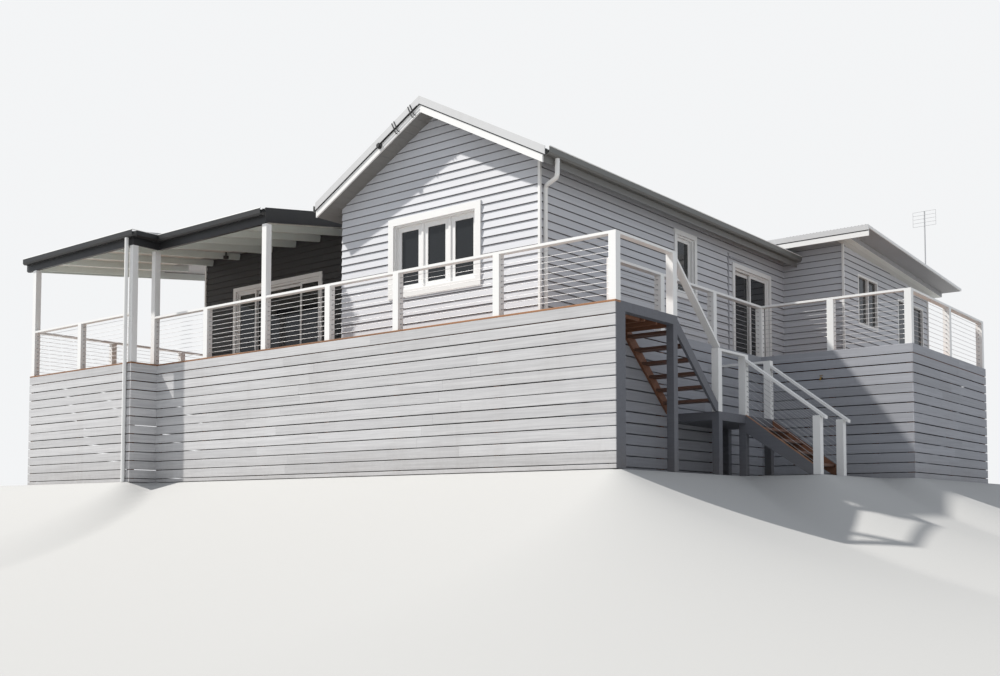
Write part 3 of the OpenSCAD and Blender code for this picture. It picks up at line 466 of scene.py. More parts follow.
def new_group(
    name: str, inputs: dict[str, tuple[str, object]], outputs: dict[str, str],
) -> tuple[Graph, bpy.types.Node, bpy.types.Node]:
    """An empty node group with named sockets.

    Args:
        name: The group's name.
        inputs: Socket kind and default of each input.
        outputs: Socket kind of each output.

    Returns:
        The group's graph, and its input and output nodes.
    """
    tree = bpy.data.node_groups.new(name, "ShaderNodeTree")
    for label, (kind, default) in inputs.items():
        socket = tree.interface.new_socket(label, in_out="INPUT", socket_type=kind)
        if default is not None:
            socket.default_value = default
    for label, kind in outputs.items():
        tree.interface.new_socket(label, in_out="OUTPUT", socket_type=kind)
    graph = Graph(tree)
    return graph, graph.add("NodeGroupInput"), graph.add("NodeGroupOutput")


def board_grain_group() -> bpy.types.NodeTree:
    """Timber grain: noise drawn out along the first direction of its place, fine lines over broad bands.

    Returns:
        The group: Place, Length and Fineness in; Grain and Height out.
    """
    g, enter, leave = new_group(
        "board_grain", {"Place": (PLACE, None), "Length": (NUMBER, 1.2), "Fineness": (NUMBER, 60.0)},
        {"Grain": NUMBER, "Height": NUMBER})
    part = g.parts(enter.outputs["Place"])
    spot = g.feed(
        g.add("ShaderNodeCombineXYZ"), X=g.maths("MULTIPLY", part["X"], enter.outputs["Length"]),
        Y=g.maths("MULTIPLY", part["Y"], enter.outputs["Fineness"]),
        Z=g.maths("MULTIPLY", part["Z"], enter.outputs["Fineness"])).outputs[0]
    lines = g.noise(spot, 1.0, 4.0, 0.6, 0.4)
    bands = g.noise(spot, 0.22, 2.0, warp=1.2)
    both = g.maths("ADD", g.maths("MULTIPLY", lines, 0.6), g.maths("MULTIPLY", bands, 0.4))
    g.feed(leave, Grain=g.spread(both, 0.34, 0.66, 0.0, 1.0), Height=both)
    return g.tree


def weather_group() -> bpy.types.NodeTree:
    """Outdoor wear: broad blotches, thin upright streaks and splashed dirt near the ground.

    Returns:
        The group: Color, Dirt, Amount and Splash in; Color out.
    """
    g, enter, leave = new_group(
        "weather", {"Color": (COLOUR, None), "Dirt": (COLOUR, (0.16, 0.13, 0.10, 1.0)),
                    "Amount": (NUMBER, 0.2), "Splash": (NUMBER, 0.3)}, {"Color": COLOUR})
    at = g.place()
    upright = g.feed(g.add("ShaderNodeMapping"), Vector=at, Scale=(9.0, 9.0, 0.5)).outputs[0]
    blotch = g.spread(g.noise(at, 0.9, 5.0, 0.62), 0.42, 0.75, 0.0, 1.0)
    streak = g.spread(g.noise(upright, 1.0, 3.0, 0.55), 0.35, 0.7, 0.35, 1.0)
    low = g.spread(g.parts(at)["Z"], 0.0, 0.55, 1.0, 0.0)
    speckle = g.noise(at, 14.0, 4.0, 0.7)
    splash = g.maths("MULTIPLY", g.maths("MULTIPLY", low, speckle), enter.outputs["Splash"])
    both = g.maths("MULTIPLY", g.maths("MULTIPLY", blotch, streak), enter.outputs["Amount"])
    mask = g.maths("ADD", both, splash, clamp=True)
    g.feed(leave, Color=g.blend(mask, enter.outputs["Color"], enter.outputs["Dirt"]))
    return g.tree


def tint_group() -> bpy.types.NodeTree:
    """Board to board difference: each board's own tint moves the colour a little lighter or darker.

    Returns:
        The group: Color and Share in; Color out.
    """
    g, enter, leave = new_group(
        "board_tint", {"Color": (COLOUR, None), "Share": (NUMBER, 0.05)}, {"Color": COLOUR})
    change = g.maths("MULTIPLY", g.attribute("tint", "Fac"), enter.outputs["Share"])
    factor = g.maths("ADD", 1.0, change)
    scale = g.add("ShaderNodeVectorMath", operation="SCALE")
    g.put(scale.inputs[0], enter.outputs["Color"])
    g.feed(scale, Scale=factor)
    g.feed(leave, Color=scale.outputs[0])
    return g.tree


def painted_lap_shade_group() -> bpy.types.NodeTree:
    """Painted shade, with some grime, in the weatherboards' laps: a dark band painted under each course's
    lower edge, where the lap above shades it.

    The band covers the last tenth of the fraction left when the height above the eased foot of the
    lowest board is divided by the pitch.

    Returns:
        The group: Color, Height and Amount in; Color out.
    """
    g, enter, leave = new_group(
        "painted_lap_shade", {"Color": (COLOUR, None), "Height": (NUMBER, 0.0), "Amount": (NUMBER, 0.7)},
        {"Color": COLOUR})
    style = BoardStyle()
    above = g.maths("SUBTRACT", enter.outputs["Height"], Lines().wall_foot + style.ease)
    band = g.spread(g.maths("FRACT", g.maths("DIVIDE", above, style.pitch)), 0.895, 0.925, 0.0, 1.0)
    share = g.maths("MULTIPLY", band, enter.outputs["Amount"])
    g.feed(leave, Color=g.blend(share, enter.outputs["Color"], (0.01, 0.01, 0.012, 1.0)))
    return g.tree


def metal_skin_group() -> bpy.types.NodeTree:
    """Coated metal: a faint mottle in colour and gloss.

    Returns:
        The group: Color, Mottle and Gloss in; Color, Roughness and Height out.
    """
    g, enter, leave = new_group(
        "metal_skin", {"Color": (COLOUR, None), "Mottle": (NUMBER, 0.1), "Gloss": (NUMBER, 0.4)},
        {"Color": COLOUR, "Roughness": NUMBER, "Height": NUMBER})
    at = g.place()
    clouds = g.noise(at, 3.0, 6.0, 0.6)
    share = g.maths("MULTIPLY", g.spread(clouds, 0.35, 0.7, 0.0, 1.0), enter.outputs["Mottle"])
    colour = g.blend(share, enter.outputs["Color"], (0.5, 0.5, 0.5, 1.0), "OVERLAY")
    rough = g.maths("ADD", enter.outputs["Gloss"], g.maths("MULTIPLY", clouds, 0.12))
    g.feed(leave, Color=colour, Roughness=rough, Height=g.noise(at, 120.0, 2.0))
    return g.tree


@dataclass
class Groups:
    """The shared shader effects, each built once."""

    grain: bpy.types.NodeTree
    weather: bpy.types.NodeTree
    tint: bpy.types.NodeTree
    skin: bpy.types.NodeTree
    # lap is the painted shade band under the weatherboards' laps.
    lap: bpy.types.NodeTree

    @staticmethod
    def built() -> "Groups":
        """All groups, newly built."""
        return Groups(board_grain_group(), weather_group(), tint_group(), metal_skin_group(), painted_lap_shade_group())


def start_material(name: str) -> tuple[bpy.types.Material, Graph, bpy.types.Node]:
    """A material with an empty Principled shader.

    Args:
        name: The material's name.

    Returns:
        The material, its graph and the shader node.
    """
    material = bpy.data.materials.new(name)
    material.use_nodes = True
    tree = material.node_tree
    tree.nodes.clear()
    graph = Graph(tree)
    shader = graph.add("ShaderNodeBsdfPrincipled")
    leave = graph.add("ShaderNodeOutputMaterial")
    tree.links.new(shader.outputs[0], leave.inputs[0])
    return material, graph, shader


@dataclass(frozen=True)
class Timber:
    """Painted, stained or oiled boards. base and line are the grain's two colours.

    show_grain, tint, dirt, splash and lap are shares of each effect, lap being the painted shade under each
    lap; fineness is in grain lines a metre.
    """

    name: str
    base: RGB
    line: RGB
    rough: float
    show_grain: float
    fineness: float
    bump_mm: float
    tint: float
    dirt: float
    splash: float
    lap: float = 0.0

    def material(self, groups: Groups, space: GrainSpace) -> bpy.types.Material:
        """The finish as a material.

        Args:
            groups: The shared effects.
            space: Where the grain's place comes from.

        Returns:
            The material.
        """
        on_board = space is GrainSpace.BOARD
        material, g, shader = start_material(self.name + ("_boards" if on_board else ""))
        place = g.attribute("grain", "Vector") if on_board else g.place()
        grain = g.use(groups.grain, Place=place, Length=1.4, Fineness=self.fineness).outputs
        share = g.maths("MULTIPLY", grain["Grain"], self.show_grain)
        colour = g.blend(share, rgba(self.base), rgba(self.line))
        colour = g.use(groups.tint, Color=colour, Share=self.tint).outputs[0]
        colour = g.use(groups.weather, Color=colour, Amount=self.dirt, Splash=self.splash).outputs[0]
        # Painted shade: a dark band under each lap of the weatherboards.
        if self.lap and on_board:
            height = g.parts(g.place())["Z"]
            colour = g.use(groups.lap, Color=colour, Height=height, Amount=self.lap).outputs[0]
        rough = g.maths("ADD", self.rough, g.maths("MULTIPLY", grain["Grain"], 0.12))
        normal = g.bump(grain["Height"], self.bump_mm, 0.6)
        g.feed(shader, Base_Color=colour, Roughness=rough, Normal=normal)
        return material


@dataclass(frozen=True)
class Metal:
    """Coated or bare metal."""

    name: str
    colour: RGB
    gloss: float
    mottle: float
    dirt: float
    metallic: float = 0.0

    def material(self, groups: Groups) -> bpy.types.Material:
        """The finish as a material.

        Args:
            groups: The shared effects.

        Returns:
            The material.
        """
        material, g, shader = start_material(self.name)
        skin = g.use(groups.skin, Color=rgba(self.colour), Mottle=self.mottle, Gloss=self.gloss).outputs
        colour = g.use(groups.weather, Color=skin["Color"], Amount=self.dirt, Splash=0.0).outputs[0]
        g.feed(shader, Base_Color=colour, Roughness=skin["Roughness"], Metallic=self.metallic,
               Normal=g.bump(skin["Height"], 0.4, 0.3))
        return material


@dataclass(frozen=True)
class Glass:
    """Window glass, near black and nearly opaque as painted shade of the unlit room behind it, very slightly
    wavy.
    """

    name: str
    colour: RGB
    see_through: float

    def material(self, groups: Groups) -> bpy.types.Material:
        """The finish as a material.

        Args:
            groups: The shared effects.

        Returns:
            The material.
        """
        material, g, shader = start_material(self.name)
        film = g.use(groups.skin, Color=rgba(self.colour), Mottle=0.2, Gloss=0.02).outputs["Color"]
        wave = g.bump(g.noise(g.place(), 1.6, 1.0), 4.0, 0.25)
        g.feed(shader, Base_Color=film, Roughness=0.04, Normal=wave, Metallic=0.0, IOR=1.5,
               Transmission_Weight=self.see_through)
        return material


TIMBERS = {
    # lap sets the share of painted shade under each lap of the weatherboards.
    "board_light": Timber(
        "pale_weatherboard", (0.57, 0.58, 0.615), (0.52, 0.53, 0.565), rough=0.5, show_grain=0.3,
        fineness=45.0, bump_mm=0.5, tint=0.03, dirt=0.08, splash=0.2, lap=0.70),
    "board_dark": Timber(
        "charcoal_weatherboard", (0.050, 0.051, 0.053), (0.036, 0.036, 0.038), rough=0.5, show_grain=0.4,
        fineness=45.0, bump_mm=0.5, tint=0.05, dirt=0.06, splash=0.1, lap=0.5),
    # This gray is partly the boards' own paint, partly painted shade: held darker than the lit boards so the
    # shaded faces under the side deck and stair read dark.
    "base_dark": Timber(
        "slate_skirt_with_painted_shade", (0.35, 0.36, 0.395), (0.25, 0.255, 0.28), rough=0.6, show_grain=0.6,
        fineness=60.0, bump_mm=1.2, tint=0.08, dirt=0.16, splash=0.4),
    "skirt": Timber(
        "rough_sawn_skirt", (0.58, 0.58, 0.59), (0.37, 0.37, 0.385), rough=0.65, show_grain=0.65,
        fineness=55.0, bump_mm=1.4, tint=0.07, dirt=0.18, splash=0.35),
    "trim_white": Timber(
        "white_painted_timber", (0.80, 0.80, 0.795), (0.76, 0.76, 0.75), rough=0.42, show_grain=0.2,
        fineness=60.0, bump_mm=0.3, tint=0.02, dirt=0.05, splash=0.15),
    "lining": Timber(
        "painted_lining", (0.80, 0.81, 0.77), (0.72, 0.73, 0.69), rough=0.5, show_grain=0.3,
        fineness=50.0, bump_mm=0.4, tint=0.10, dirt=0.10, splash=0.0),
    "rafter": Timber(
        "sage_rafter", (0.74, 0.80, 0.77), (0.66, 0.72, 0.69), rough=0.5, show_grain=0.3,
        fineness=50.0, bump_mm=0.4, tint=0.03, dirt=0.06, splash=0.0),
    "decking": Timber(
        "oiled_hardwood", (0.34, 0.165, 0.075), (0.19, 0.080, 0.036), rough=0.45, show_grain=0.7,
        fineness=80.0, bump_mm=0.8, tint=0.22, dirt=0.12, splash=0.2),
    # The treads are the decking's hardwood, darker here as painted shade of the flights seen from below, and
    # weathered.
    "tread": Timber(
        "merbau_treads_painted_shade", (0.165, 0.085, 0.058), (0.085, 0.044, 0.032), rough=0.45, show_grain=0.7,
        fineness=80.0, bump_mm=0.8, tint=0.15, dirt=0.12, splash=0.2),
    "frame_timber": Timber(
        "stained_pine", (0.24, 0.105, 0.055), (0.13, 0.052, 0.030), rough=0.6, show_grain=0.6,
        fineness=60.0, bump_mm=1.0, tint=0.12, dirt=0.15, splash=0.4),
    "stair_gray": Timber(
        "charcoal_stair_timber", (0.13, 0.135, 0.155), (0.095, 0.098, 0.112), rough=0.5, show_grain=0.5,
        fineness=60.0, bump_mm=0.8, tint=0.06, dirt=0.10, splash=0.4),
    # The eaves' soffits are white boards; this gray is painted shade under the overhangs.
    "eave": Timber(
        "gray_eave_painted_shade", (0.20, 0.20, 0.195), (0.16, 0.16, 0.155), rough=0.55, show_grain=0.3,
        fineness=50.0, bump_mm=0.4, tint=0.03, dirt=0.15, splash=0.0),
    "floor": Timber(
        "floor_boards", (0.40, 0.28, 0.17), (0.28, 0.18, 0.10), rough=0.4, show_grain=0.6,
        fineness=60.0, bump_mm=0.4, tint=0.1, dirt=0.05, splash=0.0),
}
METALS = {
    "metal_dark": Metal("charcoal_coated_steel", (0.019, 0.020, 0.022), gloss=0.38, mottle=0.15, dirt=0.10),
    "gutter_gray": Metal("mid_gray_coated_steel", (0.155, 0.158, 0.152), gloss=0.40, mottle=0.15, dirt=0.15),
    "roof_metal": Metal("gray_coated_steel", (0.38, 0.385, 0.395), gloss=0.42, mottle=0.2, dirt=0.18),
    "steel": Metal("stainless_steel", (0.55, 0.55, 0.56), gloss=0.46, mottle=0.1, dirt=0.05, metallic=1.0),
    "downpipe": Metal("white_painted_pipe", (0.80, 0.80, 0.79), gloss=0.35, mottle=0.05, dirt=0.08),
}
# The glass's near-black colour and low see-through are painted shade of the room behind.
GLASS = Glass("window_glass_painted_room_shade", (0.020, 0.022, 0.024), see_through=0.12)
FLASHING = Metal("pale_steel_flashing", (0.56, 0.565, 0.575), gloss=0.42, mottle=0.12, dirt=0.14)
BRASS = Metal("aged_brass", (0.35, 0.22, 0.07), gloss=0.35, mottle=0.2, dirt=0.2, metallic=1.0)
BLACK = Metal("black_fitting", (0.02, 0.02, 0.022), gloss=0.4, mottle=0.1, dirt=0.05)


class Finishes:
    """Every finish as a material: for boards, for the record's slots, and for flashings and fittings."""

    def __init__(self) -> None:
        """Builds the shared effects and the materials."""
        groups = Groups.built()
        self.board = {k: f.material(groups, GrainSpace.BOARD) for k, f in TIMBERS.items()}
        self.slot = {k: f.material(groups, GrainSpace.BODY) for k, f in TIMBERS.items()}
        self.slot.update({k: f.material(groups) for k, f in METALS.items()})
        self.slot["glass"] = GLASS.material(groups)
        self.flashing, self.brass, self.black = (m.material(groups) for m in (FLASHING, BRASS, BLACK))

    def dress_nodes(self) -> None:
        """Gives every construction node the material of its slot; the rafters have one of their own."""
        slots = {s["node"]: s["material_slot"] for s in frame["record"]["subparts"]}
        slots["verandah_rafters"] = "rafter"
        for name, node in frame["nodes"].items():
            node.data.materials.clear()
            node.data.materials.append(self.slot[slots[name]])


# The house's own lines, as in its construction


@dataclass(frozen=True)
class Lines:
    """Levels, wall faces and roof slopes of the house.

    lw, rw and ver are the left wing, the right wing and the verandah. x, y and z are places, over is an
    overhang, t a slab's thickness and roof_v the main roof's, measured upright.
    """

    floor_z: float = 2.44
    foot_drop: float = 0.022
    main_x0: float = -6.49
    main_x1: float = -1.96
    main_y0: float = 0.85
    main_y1: float = 15.66
    eave_top: float = 5.084
    eave_over: float = 0.34
    gable_over: float = 0.35
    roof_v: float = 0.23
    pitch_deg: float = 28.2
    lw_x0: float = -13.26
    lw_y0: float = 2.82
    lw_y1: float = 7.0
    lw_back_y: float = 7.3
    join_y: float = 2.4
    join_top: float = 5.41
    ver_x0: float = -15.1
    ver_x1: float = -7.65
    ver_step: float = -10.983
    front_y: float = -0.06
    step_y: float = 0.6
    ver_front_top: float = 5.03
    skillion_t: float = 0.09
    rw_y0: float = 10.045
    rw_x1: float = -0.588
    rw_front_y: float = 9.485
    rw_back_y: float = 15.91
    rw_x_end: float = 0.192
    rw_x_thin: float = -0.268
    rw_t: float = 0.15
    rw_fall_deg: float = 2.9

    @property
    def wall_foot(self) -> float:
        """Lower edge of the weatherboards, a little under the floor."""
        return self.floor_z - self.foot_drop

    @property
    def gable_ends(self) -> Pair:
        """Front and back edge of the main roof."""
        return self.main_y0 - self.gable_over, self.main_y1 + self.gable_over

    @property
    def eaves(self) -> Pair:
        """Left and right edge of the main roof."""
        return self.main_x0 - self.eave_over, self.main_x1 + self.eave_over

    @property
    def ridge_x(self) -> float:
        """Line of the main roof's ridge."""
        return (self.main_x0 + self.main_x1) / 2

    @property
    def slope(self) -> float:
        """Rise of the main roof for each metre across."""
        return math.tan(math.radians(self.pitch_deg))

    def main_top(self, x: Floats | float) -> Floats | float:
        """Height of the main roof's top: the eave's, plus the slope times the distance in from the eave."""
        half = (self.main_x1 - self.main_x0) / 2 + self.eave_over
        return self.eave_top + (half - np.abs(np.asarray(x) - self.ridge_x)) * self.slope

    def lw_top(self, y: Floats | float) -> Floats | float:
        """Height of the left wing's roof and of the verandah's projecting half, rising to the back."""
        rise = (self.join_top - self.ver_front_top) / (self.join_y - self.front_y + self.step_y)
        return self.join_top + (np.asarray(y) - self.join_y) * rise

    def ver_top(self, y: Floats | float) -> Floats | float:
        """Height of the verandah roof's right half, rising to the back."""
        rise = (self.join_top - self.ver_front_top) / (self.join_y - self.front_y)
        return self.ver_front_top + (np.asarray(y) - self.front_y) * rise

    def rw_top(self, y: Floats | float) -> Floats | float:
        """Height of the right wing's roof, falling to the back."""
        return self.join_top - (np.asarray(y) - self.rw_front_y) * math.tan(math.radians(self.rw_fall_deg))


# Walls


@dataclass(frozen=True)
class BoardStyle:
    """How lapped boards are cut.

    pitch is what shows of a board; thick and thin are its lower and upper edge; joint is half a butt
    joint, and no joint comes nearer to an end than clear.
    """

    pitch: float = 0.140
    thick: float = 0.026
    thin: float = 0.004
    longest: float = 5.4
    clear: float = 0.2
    joint: float = 0.0015
    ease: float = 0.003


@dataclass(frozen=True)
class WallFace:
    """One outer face of a wall.

    left and right are its two edges as (height, place along) from the foot up. A hole is its start and
    end along the wall, its bottom and its top.
    """

    plane: float
    run: Axis
    out: int
    left: Edge
    right: Edge
    holes: tuple[Hole, ...]

    def edges(self, z: Floats) -> tuple[Floats, Floats]:
        """Left and right ends of the face at each height, straight from point to point of its edges.

        Args:
            z: The heights.

        Returns:
            The places along the wall of both ends.
        """
        lz, ls = zip(*self.left)
        rz, rs = zip(*self.right)
        return np.interp(z, lz, ls), np.interp(z, rz, rs)

    def levels(self, z0: float, z1: float) -> list[float]:
        """Heights between two at which the face's outline or a hole changes, with both."""
        marks = [z for z, _ in self.left + self.right] + [z for h in self.holes for z in h[2:]]
        return sorted({z0, z1, *[z for z in marks if z0 + 1e-4 < z < z1 - 1e-4]})


def lapped_boards(face: WallFace, style: BoardStyle, seed: int) -> Shape:
    """Courses of lapped boards over a wall face, cut short of its holes.

    Each course is a wedge, thick at its lower edge and thin at its upper one. It is cut into cells by the
    outline and the holes, and a cell is a five-point profile carried between its two ends, which follow
    the outline's slope.

    Args:
        face: The wall face.
        style: The boards' sizes.
        seed: Seed of the joints and tints.

    Returns:
        The boards as one shape.
    """
    rng = np.random.default_rng(seed)
    z_low, z_high = face.left[0][0], max(face.left[-1][0], face.right[-1][0])
    cells: list[tuple[float, ...]] = []
    for bottom in np.arange(z_low, z_high - 0.01, style.pitch):
        top = min(bottom + style.pitch, z_high)
        a, b = face.edges(np.array([bottom + 1e-4]))
        cuts = cut_lengths(float(a[0]), float(b[0]), style.longest, rng)
        marks = face.levels(float(bottom), float(top))
        for za, zb in zip(marks, marks[1:]):
            l, r = face.edges(np.array([za, zb]))
            spans = [(l[0], l[1], r[0], r[1])]
            for s0, s1, h0, h1 in face.holes:
                if h0 < (za + zb) / 2 < h1:
                    parts = [part for p in spans for part in (
                        (p[0], p[1], min(p[2], s0), min(p[3], s0)),
                        (max(p[0], s1), max(p[1], s1), p[2], p[3]))]
                    spans = [p for p in parts if p[2] - p[0] > 1e-4]
            for la, lb, ra, rb in spans:
                inside = [c for c in cuts if max(la, lb) + style.clear < c < min(ra, rb) - style.clear]
                lefts = [(la, lb)] + [(c + style.joint, c + style.joint) for c in inside]
                rights = [(c - style.joint, c - style.joint) for c in inside] + [(ra, rb)]
                cells += [(za, zb, *p, *q, bottom) for p, q in zip(lefts, rights)]
    c = np.array(cells)
    za, zb, bottom = c[:, 0], c[:, 1], c[:, 6]

    def depth(z: Floats) -> Floats:
        """Thickness at a height: the thick edge less the taper times the height over the course's foot."""
        return style.thick - (style.thick - style.thin) * (z - bottom) / style.pitch

    at_foot = np.abs(za - bottom) < 1e-6
    ease = np.where(at_foot, style.ease, 0.0)
    zs = np.stack([za, za, za + ease + 1e-5, zb, zb], 1)
    outs = np.stack([0 * za, depth(za) - ease, depth(za + ease), depth(zb), 0 * za], 1)
    share = (zs - za[:, None]) / (zb - za)[:, None]
    starts = c[:, 2:3] + (c[:, 3:4] - c[:, 2:3]) * share
    ends = np.stack([starts, c[:, 4:5] + (c[:, 5:6] - c[:, 4:5]) * share], 1)
    rings = np.zeros((len(c), 2, 5, 3))
    rings[..., face.run.value] = ends
    rings[..., 1 - face.run.value] = face.plane + face.out * outs[:, None]
    rings[..., 2] = zs[:, None]
    return bars(rings, seed)


@dataclass(frozen=True)
class Cladding:
    """Lapped boards over the house's outer walls, left free round its doors, windows and a cover strip.

    A hole with its bottom at 0 goes down through the boards' foot.
    """

    lines: Lines
    style: BoardStyle = BoardStyle()
    base_style: BoardStyle = BoardStyle(pitch=0.18, thick=0.020, thin=0.010, longest=4.8)
    front_window: Hole = (-5.295, -3.155, 3.17, 4.60)
    side_window: Hole = (5.115, 5.98, 3.50, 4.795)
    side_door: Hole = (7.51, 9.33, 0.0, 4.575)
    cover_strip: Hole = (7.315, 7.375, 0.0, 4.74)
    verandah_door: Hole = (-12.22, -9.21, 0.0, 4.575)
    wing_window: Hole = (10.901, 12.131, 3.59, 4.73)
    wing_door: Hole = (13.48, 15.35, 0.0, 4.57)

    def gable(self, foot: float, lap: float = 0.0) -> tuple[Edge, Edge]:
        """Both edges of a gable wall, from its foot over the eaves to the apex under the roof.

        Args:
            foot: The wall's foot.
            lap: How far its left edge laps the next wall's boards.

        Returns:
            The left and the right edge.
        """
        k = self.lines
        eave = float(k.main_top(k.main_x0)) - k.roof_v
        apex = float(k.main_top(k.ridge_x)) - k.roof_v
        left = ((foot, k.main_x0 - lap), (eave, k.main_x0 - lap), (apex, k.ridge_x))
        return left, ((foot, k.main_x1), (eave, k.main_x1), (apex, k.ridge_x))

    def plain(self, foot: float, s0: float, top0: float, s1: float, top1: float) -> tuple[Edge, Edge]:
        """Both edges of a wall with one straight top, level or sloping.

        Args:
            foot: The wall's foot.
            s0: Its left end.
            top0: Height of its top there.
            s1: Its right end.
            top1: Height of its top there.

        Returns:
            The left and the right edge; the lower one ends with the far end of the sloping top.
        """
        left, right = ((foot, s0), (top0, s0)), ((foot, s1), (top1, s1))
        if top1 > top0:
            left += ((top1, s1),)
        if top1 < top0:
            right += ((top0, s0),)
        return left, right

    def faces(self) -> dict[str, tuple[str, BoardStyle, list[WallFace]]]:
        """The walls that each piece covers.

        Returns:
            Slot, style and wall faces by the piece's name.
        """
        k, foot, plain = self.lines, self.lines.wall_foot, self.plain
        eave = float(k.main_top(k.main_x1)) - k.roof_v
        left = [float(k.lw_top(y)) - k.skillion_t for y in (k.lw_y0, k.lw_y1)]
        right = [float(k.rw_top(y)) - k.rw_t for y in (k.rw_y0, k.main_y1)]
        side_holes = (self.side_window, self.side_door, self.cover_strip)
        rows = {
            "front_weatherboards": ("board_light", [
                (k.main_y0, Axis.X, -1, self.gable(foot, self.style.thick), (self.front_window,))]),
            "right_weatherboards": ("board_light", [
                (k.main_x1, Axis.Y, 1, plain(foot, k.main_y0, eave, k.rw_y0, eave), side_holes)]),
            "left_weatherboards": ("board_light", [
                (k.main_x0, Axis.Y, -1, plain(foot, k.main_y0, eave, k.lw_y0, eave), ()),
                (k.main_x0, Axis.Y, -1, plain(foot, k.lw_y1, eave, k.main_y1, eave), ())]),
            "back_weatherboards": ("board_light", [
                (k.main_y1, Axis.X, 1, self.gable(foot), ()),
                (k.main_y1, Axis.X, 1, plain(foot, k.main_x1, right[1], k.rw_x1, right[1]), ())]),
            "verandah_weatherboards": ("board_dark", [
                (k.lw_y0, Axis.X, -1, plain(foot, k.lw_x0, left[0], k.main_x0, left[0]),
                 (self.verandah_door,))]),
            "left_wing_weatherboards": ("board_light", [
                (k.lw_x0, Axis.Y, -1, plain(foot, k.lw_y0, left[0], k.lw_y1, left[1]), ()),
                (k.lw_y1, Axis.X, 1, plain(foot, k.lw_x0, left[1], k.main_x0, left[1]), ())]),
            "right_wing_weatherboards": ("board_light", [
                (k.rw_y0, Axis.X, -1, plain(foot, k.main_x1, right[0], k.rw_x1, right[0]), ()),
                (k.rw_x1, Axis.Y, 1, plain(foot, k.rw_y0, right[0], k.main_y1, right[1]),
                 (self.wing_window, self.wing_door))]),
            "base_boards": ("base_dark", [
                (k.main_y1, Axis.X, 1, plain(0.0, k.main_x0, foot, k.rw_x1, foot), ()),
                (k.main_x0, Axis.Y, -1, plain(0.0, k.lw_y1, foot, k.main_y1, foot), ()),
                (k.lw_y1, Axis.X, 1, plain(0.0, k.lw_x0, foot, k.main_x0, foot), ())]),
        }
        return {name: (slot, self.base_style if name == "base_boards" else self.style,
                       [WallFace(plane, run, out, *edges, holes) for plane, run, out, edges, holes in walls])
                for name, (slot, walls) in rows.items()}

    def build(self, finishes: Finishes) -> None:
        """Makes the pieces and dresses them.

        Args:
            finishes: The house's finishes.
        """
        for i, (name, (slot, style, faces)) in enumerate(self.faces().items()):
            shape = Shape.joined([lapped_boards(f, style, 10 * i + j) for j, f in enumerate(faces)])
            make_piece(name, shape, finishes.board[slot], slot)


# Decks and skirts


@dataclass(frozen=True)
class DeckBoards:
    """Deck boards laid over each field of the decks, along its longer side."""

    width: float = 0.090
    gap: float = 0.004
    longest: float = 4.8
    edge: float = 0.004

    def field(self, lo: Floats, hi: Floats, seed: int) -> Shape:
        """Boards over one field.

        Args:
            lo: The field's lowest corner.
            hi: Its highest corner.
            seed: Seed of the joints and tints.

        Returns:
            The boards as one shape.
        """
        rng = np.random.default_rng(seed)
        axis = Axis.X if hi[0] - lo[0] >= hi[1] - lo[1] else Axis.Y
        a, c = axis.value, 1 - axis.value
        n = max(1, round((hi[c] - lo[c] + self.gap) / (self.width + self.gap)))
        pitch = (hi[c] - lo[c] + self.gap) / n
        low, high = [], []
        for i in range(n):
            marks = [lo[a], *cut_lengths(lo[a], hi[a], self.longest, rng), hi[a]]
            for s0, s1 in zip(marks, marks[1:]):
                p, q = lo.copy(), hi.copy()
                p[a], q[a] = s0, s1 - (self.gap / 2 if s1 < hi[a] else 0)
                p[c] = lo[c] + i * pitch
                q[c] = p[c] + pitch - self.gap
                low.append(p)
                high.append(q)
        return boards(np.array(low), np.array(high), axis, self.edge, seed)

    def build(self, finishes: Finishes) -> None:
        """Makes the boards of both decks in place of their plain fields.

        Args:
            finishes: The house's finishes.
        """
        for seed, node in ((300, "front_deck"), (400, "side_deck")):
            shape = Shape.joined([self.field(b[0], b[1], seed + i) for i, b in enumerate(island_boxes(node))])
            make_piece(node + "_boards", shape, finishes.board["decking"], "decking", replaces=(node,))


@dataclass(frozen=True)
class SkirtBoards:
    """Spaced level boards round the feet of the decks, set out from the top, with dark gaps between them."""

    pitch: float = 0.1775
    gap: float = 0.016
    longest: float = 4.2
    uneven: float = 0.004
    narrowest: float = 0.02
    joint: float = 0.002
    edge: float = 0.004

    def panel(self, lo: Floats, hi: Floats, seed: int) -> Shape:
        """Boards over one skirt. Courses keep their uneven gaps from one skirt to the next.

        Args:
            lo: The skirt's lowest corner.
            hi: Its highest corner.
            seed: Seed of the joints and tints.

        Returns:
            The boards as one shape.
        """
        rng = np.random.default_rng(seed)
        axis = Axis.X if hi[0] - lo[0] >= hi[1] - lo[1] else Axis.Y
        a = axis.value
        n = math.ceil((hi[2] - lo[2]) / self.pitch)
        gaps = self.gap + np.random.default_rng(7).uniform(-self.uneven, self.uneven, n)
        low, high = [], []
        for i in range(n):
            top = hi[2] - i * self.pitch
            foot = max(lo[2], top - self.pitch + gaps[i])
            if top - foot < self.narrowest:
                continue
            marks = [lo[a], *cut_lengths(lo[a], hi[a], self.longest, rng), hi[a]]
            for s0, s1 in zip(marks, marks[1:]):
                p, q = lo.copy(), hi.copy()
                p[a], q[a] = s0, s1 - (self.joint if s1 < hi[a] else 0)
                p[2], q[2] = foot, top
                low.append(p)
                high.append(q)
        return boards(np.array(low), np.array(high), axis, self.edge, seed)

    def build(self, finishes: Finishes) -> None:
        """Makes the skirts' boards in place of their plain sheets.

        Args:
            finishes: The house's finishes.
        """
        for seed, node, slot in ((500, "front_skirt", "skirt"), (600, "side_skirt", "base_dark")):
            shape = Shape.joined([self.panel(b[0], b[1], seed + i) for i, b in enumerate(island_boxes(node))])
            make_piece(node + "_boards", shape, finishes.board[slot], slot, replaces=(node,))


